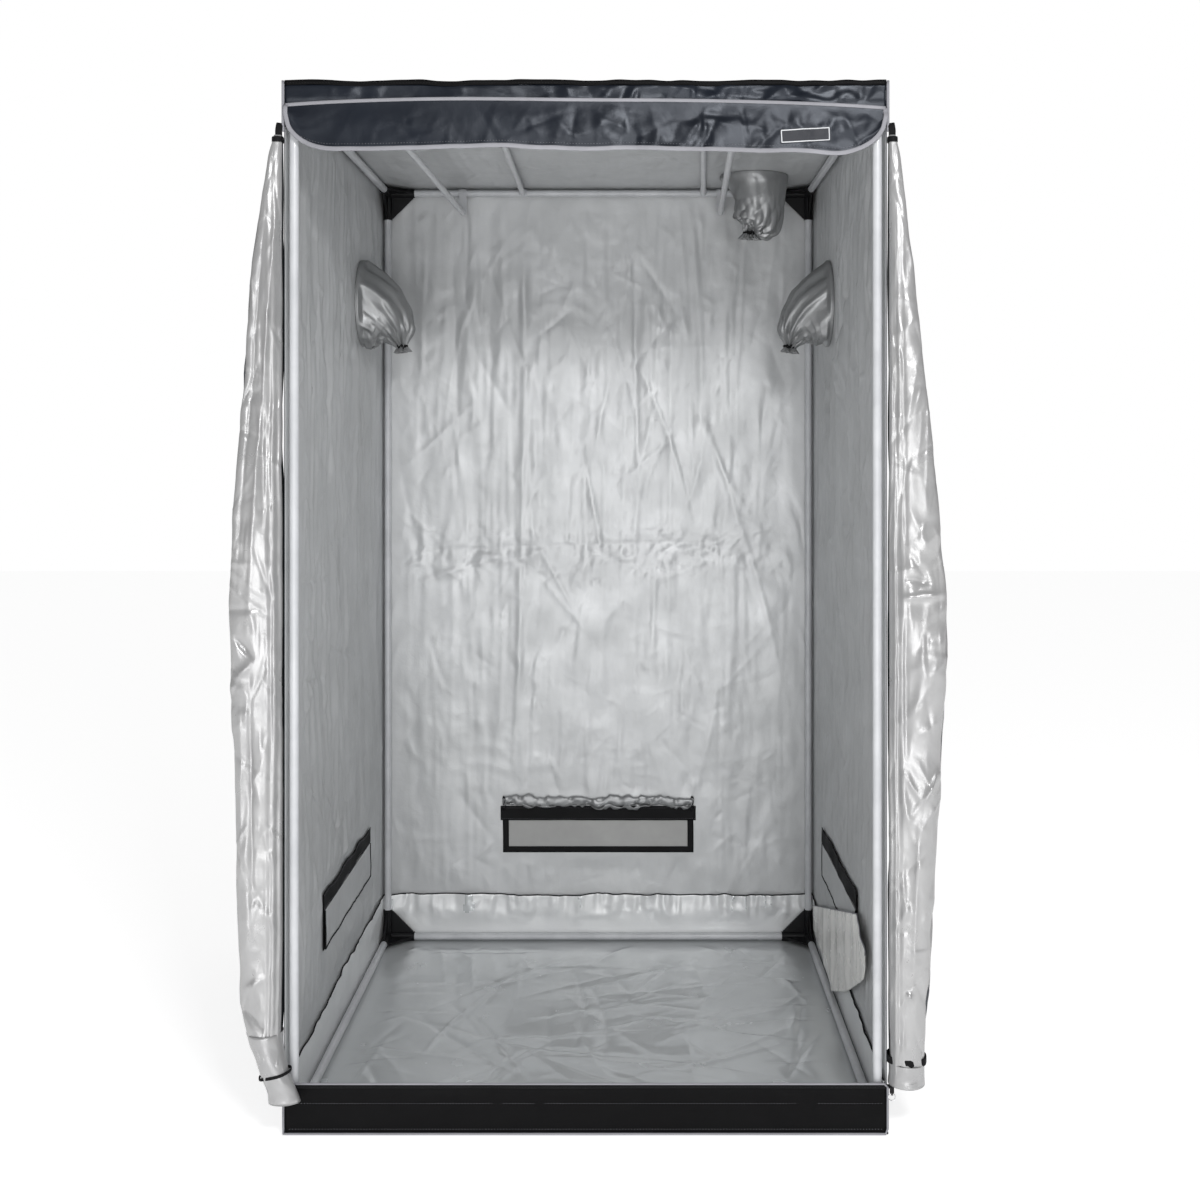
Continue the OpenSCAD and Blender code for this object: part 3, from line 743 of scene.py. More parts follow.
def zip_line():
    """Zip tape along the top of the sill, with its coil of teeth."""
    low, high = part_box("sill_zip")
    z, y = (low.z + high.z) / 2, low.y - 0.4 * MM
    run = np.linspace(low.x, high.x, 130)
    wave = 0.7 * MM * noise(run, 0 * run, 0.11, 341)
    band = sweep("zip_tape", points_of((run, y, z + wave)), tape(9 * MM, 1.2 * MM), webbing, (0, -1, 0))
    fix(band, ["sill_zip"])
    pitch, per_turn = 3.2 * MM, 8
    angle = np.arange(int((high.x - low.x) / pitch) * per_turn) * 2 * math.pi / per_turn
    x = low.x + angle / (2 * math.pi) * pitch
    lift = np.interp(x, run, wave)
    coil = points_of((x, y - 1.2 * MM + 0.9 * MM * np.cos(angle), z + lift + 1.9 * MM * np.sin(angle)))
    trim("zip_coil", coil, circle(0.55 * MM, 4), black_plastic, (0.2, -1, 0.1))


# ---------------------------------------------------------------- floor tray


def tray():
    """The waterproof tray: one sheet, creased on the floor, with wavy walls sewn up at its corners."""
    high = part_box("floor_tray")[1]
    half, rise = high.x - 1 * MM, high.z - 3 * MM
    reach = half + rise

    def wall_top(u, v):
        """How far the walls rise at each side, drooping towards the front."""
        droop = 1 - 0.17 * smooth((0.1 - v) / 0.7)
        return droop + 0.035 * noise(u + v, u - v, 0.09, 351)

    def place(u, v):
        up_u, up_v = np.maximum(np.abs(u) - half, 0), np.maximum(np.abs(v) - half, 0)
        up = up_u + up_v
        front = (v < -half) * 0.72 + (v >= -half) * 1.0
        z = up * wall_top(u, v) * front
        open_floor = smooth((half - 0.04 - np.maximum(np.abs(u), np.abs(v))) / 0.09)
        relief = 7 * MM * (0.5 + 0.5 * noise(u, v, 0.34, 352)) + 2.0 * MM * crumple(u / 2.2, v, 0.2, 353)
        relief += 0.5 * MM * crumple(u, v, 0.07, 354)
        relief += creases(u, v, (-half, half, -half, half), 355, 130, 5.5 * MM, -0.1, 1.5)
        floor = 3 * MM + np.maximum(relief + 2 * MM, 0) * open_floor
        along = np.where(up_u > 0, v, u)
        loose = smooth((z - 0.03) / 0.06)
        back = 1.0 + 1.2 * (v > half)
        pucker = 2.4 * MM * noise(along, z / 3, 0.045, 356) + 1.6 * MM * crumple(along, z, 0.06, 357)
        gather = 1 - 2 * np.abs(noise(along, z / 6, 0.024, 358)) + 0.5 * noise(along, z / 4, 0.013, 359)
        pucker = pucker * back + 4.5 * MM * gather * (v > half) * smooth((z - 0.04) / 0.06)
        inward = np.maximum(pucker + 2.2 * MM * back, 0) * loose
        x = np.sign(u) * (np.minimum(np.abs(u), half) - inward * (up_u > 0))
        y = np.sign(v) * (np.minimum(np.abs(v), half) - inward * (up_v > 0))
        return x, y, floor * (up == 0) + (3 * MM + z) * (up > 0)

    def cut_corner(u, v):
        return (np.abs(u) > half) & (np.abs(v) > half)

    lines = steps(-reach, reach, CELL, (-half, half))
    made = grid_piece("tray", lines, lines, place, [tray_film, tray_film_painted_light], cut_corner)
    # Wall faces above 12 mm take the lighter copy of the film: painted light.
    for face in made.data.polygons:
        at_wall = max(abs(face.center.x), abs(face.center.y)) > half - 12 * MM
        face.material_index = int(at_wall and face.center.z > 12 * MM)
    shell(made, 0.8 * MM)
    fix(made, ["floor_tray"])
    run = np.linspace(-half, half, 160)
    edge = np.full_like(run, reach)
    hems = [
        trim(f"tray_hem_{name}", points_of(place(u, v)), circle(1.6 * MM, 6), webbing, up)
        for name, u, v, up in (
            ("left", -edge, run, (1, 0, 0)),
            ("right", edge, run, (1, 0, 0)),
            ("back", run, edge, (0, 1, 0)),
        )
    ]


def ground_sheet():
    """The tent's own floor cloth, under the tray."""
    low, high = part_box("floor_panel")
    us, vs = steps(low.x, high.x, 30 * MM), steps(low.y, high.y, 30 * MM)

    def place(u, v):
        return u, v, 1.6 * MM + 0.3 * MM * noise(u, v, 0.2, 361)

    made = grid_piece("floor_cloth", us, vs, place, [tray_film, oxford], thick=1.4 * MM)
    fix(made, ["floor_panel"])


# ---------------------------------------------------------------- tied-back doors

# Sections of the tied-back doors in mm: height, inner and outer edge from the middle, front and back.
DOOR_SECTIONS = {
    "left": (
        (2022, 613, 626, -620, -602), (1995, 613, 638, -628, -594), (1813, 613, 665, -636, -578),
        (1690, 613, 677, -640, -566), (1330, 613, 705, -644, -556), (1085, 613, 721, -646, -550),
        (1005, 613, 716, -646, -551), (560, 613, 705, -646, -554), (262, 613, 696, -646, -562),
        (190, 613, 671, -656, -588), (145, 598, 650, -661, -618), (84, 573, 627, -660, -620),
    ),
    "right": (
        (2022, 613, 624, -620, -602), (1995, 613, 634, -628, -594), (1813, 613, 655, -636, -578),
        (1690, 613, 670, -640, -566), (1330, 613, 708, -644, -556), (1085, 613, 730, -646, -550),
        (700, 613, 718, -646, -553), (560, 613, 707, -646, -554), (262, 613, 689, -646, -562),
        (165, 616, 683, -643, -569), (110, 617, 682, -643, -572),
    ),
}
# Creases of the doors' front faces: start and end (across, height), width and height of the fold, in metres.
DOOR_CREASES = {
    "left": (
        ((0.615, 1.96), (0.679, 1.00), 0.009, 0.011), ((0.640, 1.90), (0.704, 1.08), 0.008, -0.006),
        ((0.706, 1.012), (0.664, 0.966), 0.006, -0.012), ((0.664, 0.962), (0.704, 0.925), 0.006, 0.009),
        ((0.671, 0.96), (0.667, 0.42), 0.006, -0.010), ((0.690, 0.90), (0.694, 0.50), 0.008, 0.005),
        ((0.652, 1.70), (0.642, 1.20), 0.006, -0.006), ((0.694, 0.268), (0.640, 0.225), 0.006, -0.009),
        ((0.690, 0.30), (0.640, 0.33), 0.007, 0.006),
    ),
    "right": (
        ((0.624, 1.94), (0.629, 0.28), 0.004, -0.008), ((0.636, 1.75), (0.643, 1.10), 0.005, -0.006),
        ((0.632, 1.090), (0.728, 1.100), 0.007, 0.013), ((0.640, 1.128), (0.700, 1.118), 0.008, -0.010),
        ((0.650, 1.18), (0.690, 1.12), 0.006, -0.007), ((0.636, 0.745), (0.674, 0.680), 0.006, 0.010),
        ((0.674, 0.680), (0.712, 0.745), 0.006, 0.009), ((0.640, 1.06), (0.646, 0.76), 0.006, -0.008),
        ((0.640, 0.300), (0.660, 0.285), 0.005, 0.009), ((0.668, 0.66), (0.655, 0.30), 0.007, 0.006),
    ),
}
# How often a tied door's cloth turns back and forth, its edge beside the doorway, and its pleats' pitch.
PASSES = 7
DOOR_INNER = 0.613
PLEAT_PITCH = 13.5 * MM


def door_frame(side, z):
    """Inner, outer, front and back of a tied-back door at heights z, smoothed between its sections."""
    rows = np.array(DOOR_SECTIONS[side], float)[::-1] * MM
    blur = np.array([-0.02, -0.01, 0.0, 0.01, 0.02])
    return [np.mean([np.interp(z + b, rows[:, 0], rows[:, k]) for b in blur], axis=0) for k in range(1, 5)]


def door_cloth(side, sign):
    """One door: a sheet that turns back and forth behind its front face, tied at the top and the foot."""
    seed = 400 if side == "left" else 430
    rng = np.random.RandomState(seed)
    z_low, z_high = DOOR_SECTIONS[side][-1][0] * MM, DOOR_SECTIONS[side][0][0] * MM
    turns = [0.0, 1.0]
    for k in range(2, PASSES + 1):
        turns.append(rng.uniform(0.05, 0.25) if k % 2 == 0 else rng.uniform(0.82, 0.98))
    s = np.concatenate([np.linspace(0, 1, 46)[:-1], np.linspace(1, PASSES, 14 * (PASSES - 1) + 1)])
    zs = steps(z_low, z_high, 5 * MM)

    def place(u, z):
        inner, outer, front, back = door_frame(side, z)
        k = np.minimum(np.floor(u).astype(int), PASSES - 1)
        t = u - k
        start, end = np.array(turns)[k], np.array(turns)[k + 1]
        sway = 0.06 * noise(k * 3.1, z, 0.16, seed + 1) * (k > 0)
        across = start + (end - start) * (0.5 - 0.5 * np.cos(math.pi * t)) + sway
        bulge = 0.42 * (1 - t) + 0.30 * t - 0.36 * np.sin(math.pi * np.clip(t, 0, 1)) ** 0.7
        depth = np.where(u < 1, bulge, 0.30 + 0.68 * (u - 1) / (PASSES - 1))
        x = inner + (outer - inner) * across
        y = front + (back - front) * depth
        face = smooth((1.25 - u) / 0.3)
        size = (outer - inner) / 0.1
        pleat = np.cos(2 * math.pi * (x - DOOR_INNER) / PLEAT_PITCH + 1.5 * noise(x * 0, z, 0.3, seed + 2))
        fold = 2.6 * MM * pleat * smooth((0.650 - x) / 0.025) * size
        for a, b, width, height in DOOR_CREASES[side]:
            fold = fold + crease(x, z, a, b, 0.7 * width, 1.15 * height)
        fold = fold + 5 * MM * noise(x, z / 4, 0.034, seed + 3) * size
        fold = fold + 2.2 * MM * crumple(x, z / 1.6, 0.05, seed + 4)
        fold = fold + 5 * MM * noise(x * 0, z, 0.15, seed + 5) * size
        fold = fold + creases(x, z, (0.615, 0.725, z_low, z_high), seed + 8, 150, 4.5 * MM, 0.75, 0.42)
        loose = np.clip(1.6 * size, 0, 1)
        y = y - fold * face * loose - 3 * MM * noise(x, z, 0.06, seed + 6) * (1 - face) * loose
        edge = smooth((across - 0.55) / 0.4)
        x = x + edge * loose * (2.5 * MM * noise(k * 2.3, z, 0.07, seed + 7) - 1.5 * MM)
        return sign * x, y, z

    made = grid_piece(f"door_cloth_{side}", s, zs, place, [door_silver_painted_shade, oxford])
    lay_flat(made, s, zs, place)
    if side == "left":
        made.data.flip_normals()
    shell(made, 0.9 * MM, 1)
    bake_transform(made)
    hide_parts(f"door_{side}", f"door_foot_{side}")


def lay_flat(made, s, zs, place):
    """Gives a folded sheet its true flat place, from the length of its section half way up."""
    run = travel(points_of(place(s, np.full_like(s, zs[len(zs) // 2]))))
    layer = made.data.uv_layers["flat"]
    values = np.zeros(len(layer.data) * 2)
    layer.data.foreach_get("uv", values)
    values[::2] = np.interp(values[::2], s, run)
    layer.data.foreach_set("uv", values)


def ring_path(side, sign, z, grow, count=56):
    """A closed ring round a tied-back door at height z, from its section, grown all round."""
    inner, outer, front, back = [float(np.asarray(a)) for a in door_frame(side, np.array(z))]
    angle = np.linspace(0, 2 * math.pi, count, endpoint=False)
    x = (inner + outer) / 2 + ((outer - inner) / 2 + grow) * np.cos(angle)
    y = (front + back) / 2 + ((back - front) / 2 + grow) * np.sin(angle)
    return points_of((sign * x, y, z)), points_of((np.cos(angle) * sign, np.sin(angle), 0))


def strap(name, side, sign, z, width, grow, body, tilt=0.0, tuck=0.0):
    """A webbing strap round a door. tuck is how far its front is drawn into the cloth."""
    path, out = ring_path(side, sign, z, grow)
    front = smooth(-out[:, 1] * 1.6 - 0.1) * (1 - 0.9 * smooth(out[:, 0] * sign * 3 - 1.6))
    path = path - out * (tuck * front)[:, None]
    path[:, 2] += tilt * (path[:, 0] - path[:, 0].mean())
    path[:, 2] += 0.8 * MM * noise(path[:, 0], path[:, 1], 0.03, 471)
    made = sweep(f"{name}_tie_{side}", path, tape(width, 1.8 * MM, 7), webbing, out, closed=True)
    fix(made, [f"{name}_strap_{side}"], body)


def cuff(side, sign):
    """The hem at a door's foot: a loose tube of cloth with a rolled lip."""
    top, low = (0.215, 0.082) if side == "left" else (0.150, 0.106)
    count = 90
    turn = np.arange(count) / count * 2 * math.pi
    rows = []
    for z in np.linspace(top, low, 26):
        path, out = ring_path(side, sign, z, 3.0 * MM, count)
        puff = 1.6 * MM * noise(30 * np.cos(turn) * MM, z + 30 * np.sin(turn) * MM, 0.02, 481)
        puff += 2.0 * MM * smooth((low + 0.02 - z) / 0.02)
        rows.append(path + out * puff[:, None])
    rows.append(rows[-1] + (rows[-1].mean(0) - rows[-1]) * 0.16 + [0, 0, 4 * MM])
    faces = [(a, d, c, b) for a, b, c, d in tube_faces(len(rows), count)]
    flat = grid_of(np.arange(len(rows)) * 5 * MM, np.arange(count) * 3 * MM)[:, ::-1]
    made = mesh_piece(f"door_cuff_{side}", np.concatenate(rows), faces, [door_silver_painted_shade, door_silver_painted_shade], flat)
    if side == "left":
        made.data.flip_normals()
    shell(made, 0.8 * MM, 1)
    fix(made)


# The bend of the tab that holds a door's top tie to the header, in metres: outward, front, height.
TAB_ARC = (
    (0.6175, -0.6120, 2.047), (0.6185, -0.6150, 2.040),
    (0.6195, -0.6160, 2.031), (0.6195, -0.6140, 2.018),
)


def doors():
    """Both tied-back doors, with their foot hems, ties and top tabs."""
    for side, sign in SIDES:
        door_cloth(side, sign)
        cuff(side, sign)
        strap("top", side, sign, 2.013, 11 * MM, 2.2 * MM, f"door_{side}")
    for side, sign in SIDES:
        path = resample([(sign * a, b, c) for a, b, c in TAB_ARC], 3 * MM)
        fix(sweep(f"top_tab_{side}", path, tape(14 * MM, 2.6 * MM), webbing, (0, -1, 0)))
    strap("foot", "left", -1, 0.137, 6 * MM, 5.5 * MM, "tent", 0.25, 2.6 * MM)
    strap("foot", "right", 1, 0.156, 15 * MM, 6.0 * MM, "tent", 0.0, 7 * MM)


# ---------------------------------------------------------------- duct socks


def lump(points, cell, seed):
    """Smooth noise over points in space."""
    x, y, z = points[..., 0], points[..., 1], points[..., 2]
    total = noise(x, y, cell, seed) + noise(y, z, cell, seed + 1) + noise(z, x, cell, seed + 2)
    return total / 1.7


def fold3(points, cell, seed):
    """Sharp-ridged noise over points in space, for crumpled cloth."""
    return 1 - 2.4 * np.abs(lump(points, cell, seed)) - 1.0 * np.abs(lump(points, cell * 0.45, seed + 5))


def sleeve(name, centres, wide, deep, seed, mouth_r, rough, stretch):
    """A crumpled tube of cloth along centres, whose rings are ellipses, pleated where it narrows."""
    marks = np.linspace(0, 1, len(centres))
    fine = np.linspace(0, 1, 84)
    blur = np.linspace(-0.015, 0.015, 5)

    def track(values):
        return np.mean([np.interp(np.clip(fine + b, 0, 1), marks, values) for b in blur], axis=0)

    path = np.stack([track([c[k] for c in centres]) for k in range(3)], axis=1)
    a, b = track(wide), track(deep)
    ahead = unit(np.gradient(path, axis=0))
    turned = smooth((fine - 0.1) / 0.7)[:, None]
    ahead = unit(ahead[:1] * (1 - turned) + ahead * turned)
    side = unit(np.cross(ahead, (0.0, 1.0, 0.0)))
    above = np.cross(side, ahead)
    turn = np.arange(132) / 132 * 2 * math.pi
    cos, sin = np.cos(turn), np.sin(turn)
    spread = np.einsum("k,m,kx->kmx", a, cos, side) + np.einsum("k,m,kx->kmx", b, sin, above)
    points = path[:, None] + spread
    size = (a + b) / 2
    tight = np.clip(1 - size / mouth_r, 0, 1)
    phase = 2.2 * noise(fine * 0.3, 0 * fine, 0.08, seed + 3)[:, None]
    pleats = np.abs(np.sin(4.5 * turn + phase)) + 0.6 * np.abs(np.sin(8.5 * turn - phase + 1))
    pleats = (pleats - 0.9) * (size * 0.42 * smooth((tight - 0.3) * 2.0))[:, None]
    run = travel(path)
    local = points_of((mouth_r * cos, mouth_r * sin, stretch * run[:, None]))
    relief = rough * (0.5 * lump(local, 0.07, seed) + 0.9 * fold3(local, 0.095, seed + 4))
    relief += 0.50 * rough * fold3(local * [1, 1, 0.7], 0.040, seed + 9)
    relief *= (smooth((fine - 0.1) / 0.1) * np.clip(size / mouth_r, 0.25, 1))[:, None]
    points = points + unit(spread) * (relief + pleats - 1 * MM)[..., None]
    flat = grid_of(run, turn * mouth_r)[:, ::-1]
    faces = tube_faces(*points.shape[:2])
    made = mesh_piece(name, points.reshape(-1, 3), faces, [sock_silver, sock_silver], flat)
    shell(made, 0.8 * MM, 1)
    return made


def sock(side, centres, wide, deep, seed, mouth, rough, stretch, cord):
    """One duct sock, and the drawcord round its neck."""
    made = sleeve(f"sock_{side}", centres, wide, deep, seed, mouth, rough, stretch)
    fix(made, [f"duct_sock_{side}"])
    return tie(f"sock_tie_{side}", np.array(centres[8]) + [0, 0, 2 * MM], cord)


def socks():
    """Three duct socks: each hangs from its port into the tent, tied shut by a drawcord."""
    for side, sign in SIDES:
        low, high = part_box(f"duct_sock_{side}")
        y, z = (low.y + high.y) / 2, (low.z + high.z) / 2
        mouth = (high.z - low.z) / 2 + 3.5 * MM
        inset = [0, 7, 20, 40, 60, 78, 92, 99, 102, 104]
        drop = [0, 0, -6, -17, -33, -54, -78, -102, -113, -128]
        tall = [mouth, mouth, 0.107, 0.100, 0.092, 0.078, 0.056, 0.024, 0.013, 0.026]
        deep = [mouth, mouth, 0.106, 0.097, 0.085, 0.067, 0.047, 0.020, 0.012, 0.021]
        start = INNER_W - 0.6 * MM
        centres = [(sign * (start - a * MM), y, z + b * MM) for a, b in zip(inset, drop)]
        sock(side, centres, deep, tall, 500 + sign, mouth, 10 * MM, 0.45, 15 * MM)
    low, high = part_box("duct_sock_roof")
    x, y = (low.x + high.x) / 2, (low.y + high.y) / 2
    top, mouth = TOP - SKIN - 0.6 * MM, (high.x - low.x) / 2 + 3.5 * MM
    drop = [0, 7, 28, 64, 100, 128, 144, 151, 156, 172]
    wide = [mouth, mouth, 0.078, 0.066, 0.065, 0.066, 0.048, 0.022, 0.016, 0.028]
    deep = [mouth, mouth, 0.080, 0.054, 0.042, 0.038, 0.028, 0.014, 0.012, 0.018]
    slip = [0, 0, 6, 14, 13, 6, -4, -10, -12, -13]
    centres = [(x + b * MM, y - 10 * MM * (k > 1), top - a * MM) for k, (a, b) in enumerate(zip(drop, slip))]
    last = sock("roof", centres, wide, deep, 540, mouth, 3.5 * MM, 0.3, 18 * MM)
    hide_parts("sock_drawcords")


def tie(name, at, radius):
    """A drawcord wound twice round a sock's neck and tied in an overhand knot."""
    turn = np.linspace(0, 4 * math.pi, 90)
    wind = points_of((radius * np.cos(turn), radius * np.sin(turn), 4 * MM * (turn / (4 * math.pi) - 0.5)))
    t = np.linspace(0.5, 2 * math.pi - 0.5, 60)
    knot = points_of((np.sin(t) + 2 * np.sin(2 * t), np.cos(t) - 2 * np.cos(2 * t), -1.3 * np.sin(3 * t)))
    knot = knot * 3.2 * MM + [0, -radius - 4 * MM, -2 * MM]
    made = sweep(name, np.concatenate([wind, knot]) + at, circle(1.7 * MM, 7), webbing, (0.02, 0.03, 1))
    return fix(made)


# ---------------------------------------------------------------- vents


def on_side(side):
    """Maps (along the wall, height, distance in from the outer face) to a point on that wall."""
    if side == "back":
        return lambda a, z, n: (a, BACK - n, z)
    sign = -1 if side == "left" else 1
    return lambda a, z, n: (sign * (HALF_W - n), a, z)


def vent(side, seed):
    """A vent: net screen, webbing frame with a wide top strip, and two rows of stitches."""
    a0, a1, z0, z1 = vent_box(side)
    at = on_side(side)
    inner = (a0 + 6 * MM + VENT_BORDER, a1 - 6 * MM - VENT_BORDER, z0 + VENT_BORDER, z1 - VENT_STRIP)
    us = steps(inner[0] - 8 * MM, inner[1] + 8 * MM, 7 * MM)
    vs = steps(inner[2] - 8 * MM, inner[3] + 8 * MM, 6 * MM)

    def net(u, v):
        return at(u, v, 2.4 * MM - np.abs(1.2 * MM * noise(u, v, 0.12, seed)))

    screen = grid_piece(f"vent_net_{side}", us, vs, net, [screen_net], thick=0.5 * MM)
    fix(screen, ["vent_screens"] if side == "back" else [])

    def ring(u, v):
        wave = 1.3 * MM * noise(u, v, 0.07, seed + 1)
        return at(u + 0.5 * wave, v + wave * (v > z0 + 30 * MM), 3.9 * MM + 0.5 * np.abs(wave))

    def hole(u, v):
        return inside(u, v, inner)

    us = steps(a0 + 6 * MM, a1 - 6 * MM, 6 * MM, inner[:2])
    vs = steps(z0, z1 - 6 * MM, 5 * MM, inner[2:])
    border = f"vent_border_{side}"
    frame_cloth = grid_piece(border, us, vs, ring, [webbing], hole, thick=1.0 * MM)
    fix(frame_cloth, [f"vent_frame_{side}"])
    sag = 9 * MM if side != "back" else 0.6 * MM

    def strip(u, v):
        wave = sag * noise(u, 0 * u, 0.10, seed + 2) + 0.5 * sag * noise(u, 0 * u, 0.045, seed + 3)
        return at(u, v + wave * 0.7, 6.4 * MM + 1.2 * MM * np.abs(noise(u, v, 0.05, seed + 4)))

    us, vs = steps(a0, a1, 6 * MM), steps(z1 - VENT_STRIP, z1, 5 * MM)
    top = fix(grid_piece(f"vent_strip_{side}", us, vs, strip, [webbing], thick=1.2 * MM))
    normal = np.subtract(at(0, 0, 1), at(0, 0, 0))
    row = np.linspace(a0 + 4 * MM, a1 - 4 * MM, 50)
    for k, z in enumerate((z1 - 5 * MM, z1 - VENT_STRIP + 5 * MM)):
        path = points_of(strip(row, z + 0 * row)) + normal * 0.8 * MM
        sew(f"vent_seam_{side}_{k}", path, normal, thread_grey)


def closed_flap(side, seed, body):
    """A side vent's closed flap: silver film with a thin dark binding."""
    low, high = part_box(f"vent_flap_{side}")
    at = on_side(side)

    def place(u, v):
        loose = smooth((high.z - v) / 0.05)
        lift = (1.5 * MM * noise(u, v, 0.09, seed) + 1.0 * MM * crumple(u, v, 0.05, seed + 1)) * loose
        return at(u, v, 6.6 * MM + np.maximum(lift + 1.0 * MM, 0))

    us, vs = steps(low.y, high.y, 7 * MM), steps(low.z, high.z, 6 * MM)
    made = grid_piece(f"vent_cover_{side}", us, vs, place, [silver, oxford], thick=0.9 * MM)
    if side == "right":
        made.data.flip_normals()
    fix(made, [f"vent_flap_{side}"], body)
    corners = [(low.y, high.z), (low.y, low.z), (high.y, low.z), (high.y, high.z)]
    loop = np.concatenate([np.linspace(a, b, 50) for a, b in zip(corners, corners[1:])])
    path = points_of(place(loop[:, 0], loop[:, 1]))
    edge = trim(f"vent_cover_edge_{side}", path, circle(1.9 * MM, 6), webbing, (1, 0, 0.01), body)


def rolled_flap():
    """The back vent's flap, rolled up above its strip and crumpled, with a loop at each end."""
    low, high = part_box("vent_flap_back")
    centre = (low + high) / 2
    run = np.linspace(low.x, high.x, 150)
    radius = (high.z - low.z) / 2
    coil = np.linspace(0, 2 * math.pi * 1.9, 44)
    x = run[:, None]
    round_it = coil * radius
    lumps = 1 + 0.45 * noise(x, 0.6 * round_it, 0.028, 601) + 0.35 * noise(x, round_it, 0.011, 602)
    end = 0.45 + 0.55 * np.sqrt(np.clip((high.x - np.abs(x)) / 0.03, 0, 1))
    r = radius * end * (0.35 + 0.65 * coil / coil[-1]) * np.clip(lumps, 0.4, 1.7)
    lift = end * 10 * MM * (0.4 + 0.6 * noise(x, 0 * x, 0.035, 603))
    y, z = centre.y + 1 * MM - 0.8 * r * np.cos(coil), centre.z + lift + 1.5 * r * np.sin(coil)
    points = points_of((x, y, z))
    faces = [(a, d, c, b) for a, b, c, d in tube_faces(*points.shape[:2], gap=1)]
    flat = grid_of(run, coil * radius * 0.7)
    made = mesh_piece("vent_cover_back", points.reshape(-1, 3), faces, [sock_silver, sock_silver], flat)
    fix(made, ["vent_flap_back"])
    shell(made, 0.7 * MM, 1)
    turn = np.linspace(0, 2 * math.pi, 40, endpoint=False)
    for name, x in (("left", low.x + 4 * MM), ("right", high.x - 4 * MM)):
        y = np.minimum(centre.y - 13 * MM * np.cos(turn), BACK - 8 * MM)
        loop = points_of((x + 4 * MM * np.sin(2 * turn), y, centre.z - 2 * MM + 17 * MM * np.sin(turn)))
        trim(f"vent_loop_{name}", loop, tape(6 * MM, 1.5 * MM), webbing, (1, 0, 0.02), closed=True)


def vents():
    """Three low vents: the back one's flap is rolled up, and the side ones' are closed."""
    for side, seed in (("back", 610), ("left", 630), ("right", 650)):
        vent(side, seed)
    closed_flap("left", 670, "vent_flap_left")
    closed_flap("right", 680, "tent")
    rolled_flap()


# ---------------------------------------------------------------- pouch on the right wall


def pouch():
    """The limp film pocket: its lower and upper edges run from the back to the front of the wall."""
    low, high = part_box("accessory_pocket")
    # Edge points (y, z) in metres, from the back of the pocket to its front.
    bottom = np.array([(0.500, 0.090), (0.110, 0.034), (-0.150, 0.126), (-0.395, 0.240), (-0.425, 0.285)])
    upper = np.array([(0.485, 0.136), (0.100, 0.243), (-0.120, 0.304), (-0.290, 0.350), (-0.425, 0.302)])
    length, depth = 0.95, 0.22
    marks = np.linspace(0, length, len(bottom))

    def place(u, v):
        share = v / depth
        y = np.interp(u, marks, bottom[:, 0]) * (1 - share) + np.interp(u, marks, upper[:, 0]) * share
        z = np.interp(u, marks, bottom[:, 1]) * (1 - share) + np.interp(u, marks, upper[:, 1]) * share
        fold = 3.5 * MM * noise(y, z / 5, 0.05, 701) + 3.0 * MM * crumple(y, z / 3, 0.07, 702)
        return (low.x + high.x) / 2 - np.maximum(fold + 2 * MM, -1 * MM) * smooth(z / 0.08), y, z

    us, vs = steps(0, length, 7 * MM), steps(0, depth, 5 * MM)
    made = grid_piece("pouch", us, vs, place, [pocket_film], thick=0.6 * MM)
    fix(made, ["accessory_pocket"])
    run = np.linspace(0, length, 120)
    rim = points_of(place(run, np.full_like(run, depth)))
    trim("pouch_hem", rim, circle(1.4 * MM, 6), piping_cloth, (1, 0, 0))


# ---------------------------------------------------------------- outside trim and hard parts


def outer_trim():
    """Black binding along the tent's outer edges, as its panels are sewn."""
    out_w, back, front, foot = HALF_W + 0.5 * MM, BACK + 0.5 * MM, FRONT, 4 * MM
    lines = {
        "back_left": [(-out_w, back, foot), (-out_w, back, TOP)],
        "back_right": [(out_w, back, foot), (out_w, back, TOP)],
    }
    for level, z in (("roof", TOP), ("foot", foot)):
        lines[f"{level}_left"] = [(-out_w, front, z), (-out_w, back, z)]
        lines[f"{level}_right"] = [(out_w, front, z), (out_w, back, z)]
        lines[f"{level}_back"] = [(-out_w, back, z), (out_w, back, z)]
    for name, line in lines.items():
        path = resample(line, 15 * MM)
        wave = [noise(path.sum(1) + k, 0 * path[:, 0], 0.06, 711 + k) for k in range(3)]
        up = (1, 0.2, 0.1) if name.startswith("back_") else (0.1, 0.2, 1)
        trim(f"binding_{name}", path + 0.8 * MM * np.stack(wave, axis=1), circle(2.6 * MM, 8), webbing, up)


# The finish of each CAD part that stays, by the start of its name.
FINISHES = {
    ("post_", "top_tube_", "bottom_tube_", "hanging_bar_"): white_coat,
    ("top_corner_", "bottom_corner_", "zip_slider"): black_plastic,
    ("port_collar_",): webbing_solid,
    ("zip_pull",): chrome_wire,
}


def hard_parts():
    """Better finishes for the CAD parts that stay, and softened edges on the plastic ones."""
    for name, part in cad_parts.items():
        for starts, finish in FINISHES.items():
            if part.hide_render or not name.startswith(starts):
                continue
            for slot in part.material_slots:
                slot.material = finish
            if finish is black_plastic:
                soft = part.modifiers.new("edges", "BEVEL")
                soft.width = 1.0 * MM
                soft.segments = 2
                soft.limit_method = "ANGLE"


# ---------------------------------------------------------------- camera, light and stage


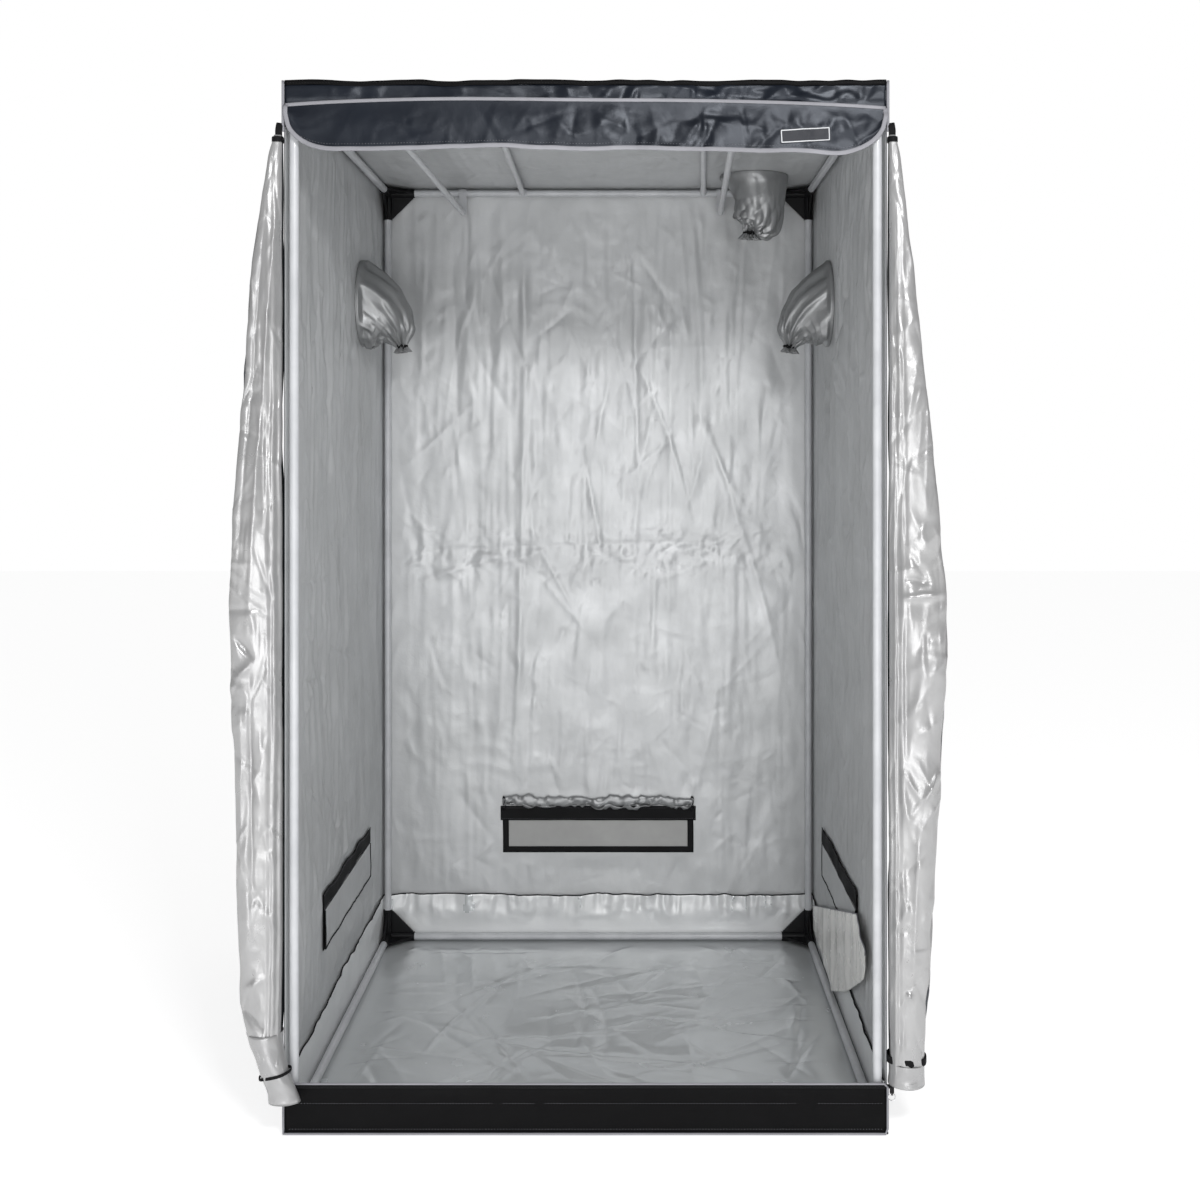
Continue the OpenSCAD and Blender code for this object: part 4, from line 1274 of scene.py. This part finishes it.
def camera():
    """The camera stands in front of the tent, level, a little right of its middle."""
    data = bpy.data.cameras.new("camera")
    data.lens = 45.1
    data.sensor_width = 36.0
    data.shift_x = -0.025
    data.shift_y = -0.122
    data.clip_end = 60.0
    made = bpy.data.objects.new("camera", data)
    made.location = (0.090, -3.651, 1.379)
    made.rotation_euler = (math.pi / 2, 0, 0)
    bpy.context.scene.collection.objects.link(made)
    bpy.context.scene.camera = made


def area_light(name, at, target, size, power):
    """A soft rectangular light at a place, turned to its target."""
    data = bpy.data.lights.new(name, "AREA")
    data.shape = "RECTANGLE"
    data.size, data.size_y = size
    data.energy = power
    made = bpy.data.objects.new(name, data)
    made.location = at
    aim = np.array(target, float) - np.array(at, float)
    flat = math.hypot(aim[0], aim[1])
    made.rotation_euler = (math.atan2(flat, -aim[2]), 0, math.atan2(-aim[0], aim[1]))
    bpy.context.scene.collection.objects.link(made)


AMBIENT = 0.32


def studio():
    """A white stage and sky, which the camera sees at full strength, and three soft lights."""
    world = bpy.data.worlds.new("studio")
    world.use_nodes = True
    tree = world.node_tree
    shade = tree.nodes["Background"]
    shade.inputs["Color"].default_value = (1, 1, 1, 1)
    seen = node(tree, "LightPath").outputs["Is Camera Ray"]
    level = node(tree, "MapRange", {"Value": seen, "To Min": AMBIENT, "To Max": 1.0})
    tree.links.new(level.outputs["Result"], shade.inputs["Strength"])
    bpy.context.scene.world = world
    bpy.context.scene.view_settings.view_transform = "Standard"
    area_light("front_soft", (-0.3, -4.4, 0.85), (0, 0.6, 0.7), (2.4, 1.2), 36)
    area_light("low_soft", (0.2, -3.2, 0.45), (0, 0.6, 0.25), (2.2, 0.5), 8)
    area_light("right_soft", (0.85, -3.7, 2.85), (0.4, -0.6, 2.08), (0.8, 0.5), 58)
    metres = np.linspace(-14, 14, 29)
    grid_piece("stage_floor", metres, metres, lambda u, v: (u, v, -1 * MM), [stage_white])


camera()
studio()
walls()
header()
valance()
sill()
zip_line()
tray()
ground_sheet()
doors()
socks()
vents()
pouch()
outer_trim()
hard_parts()
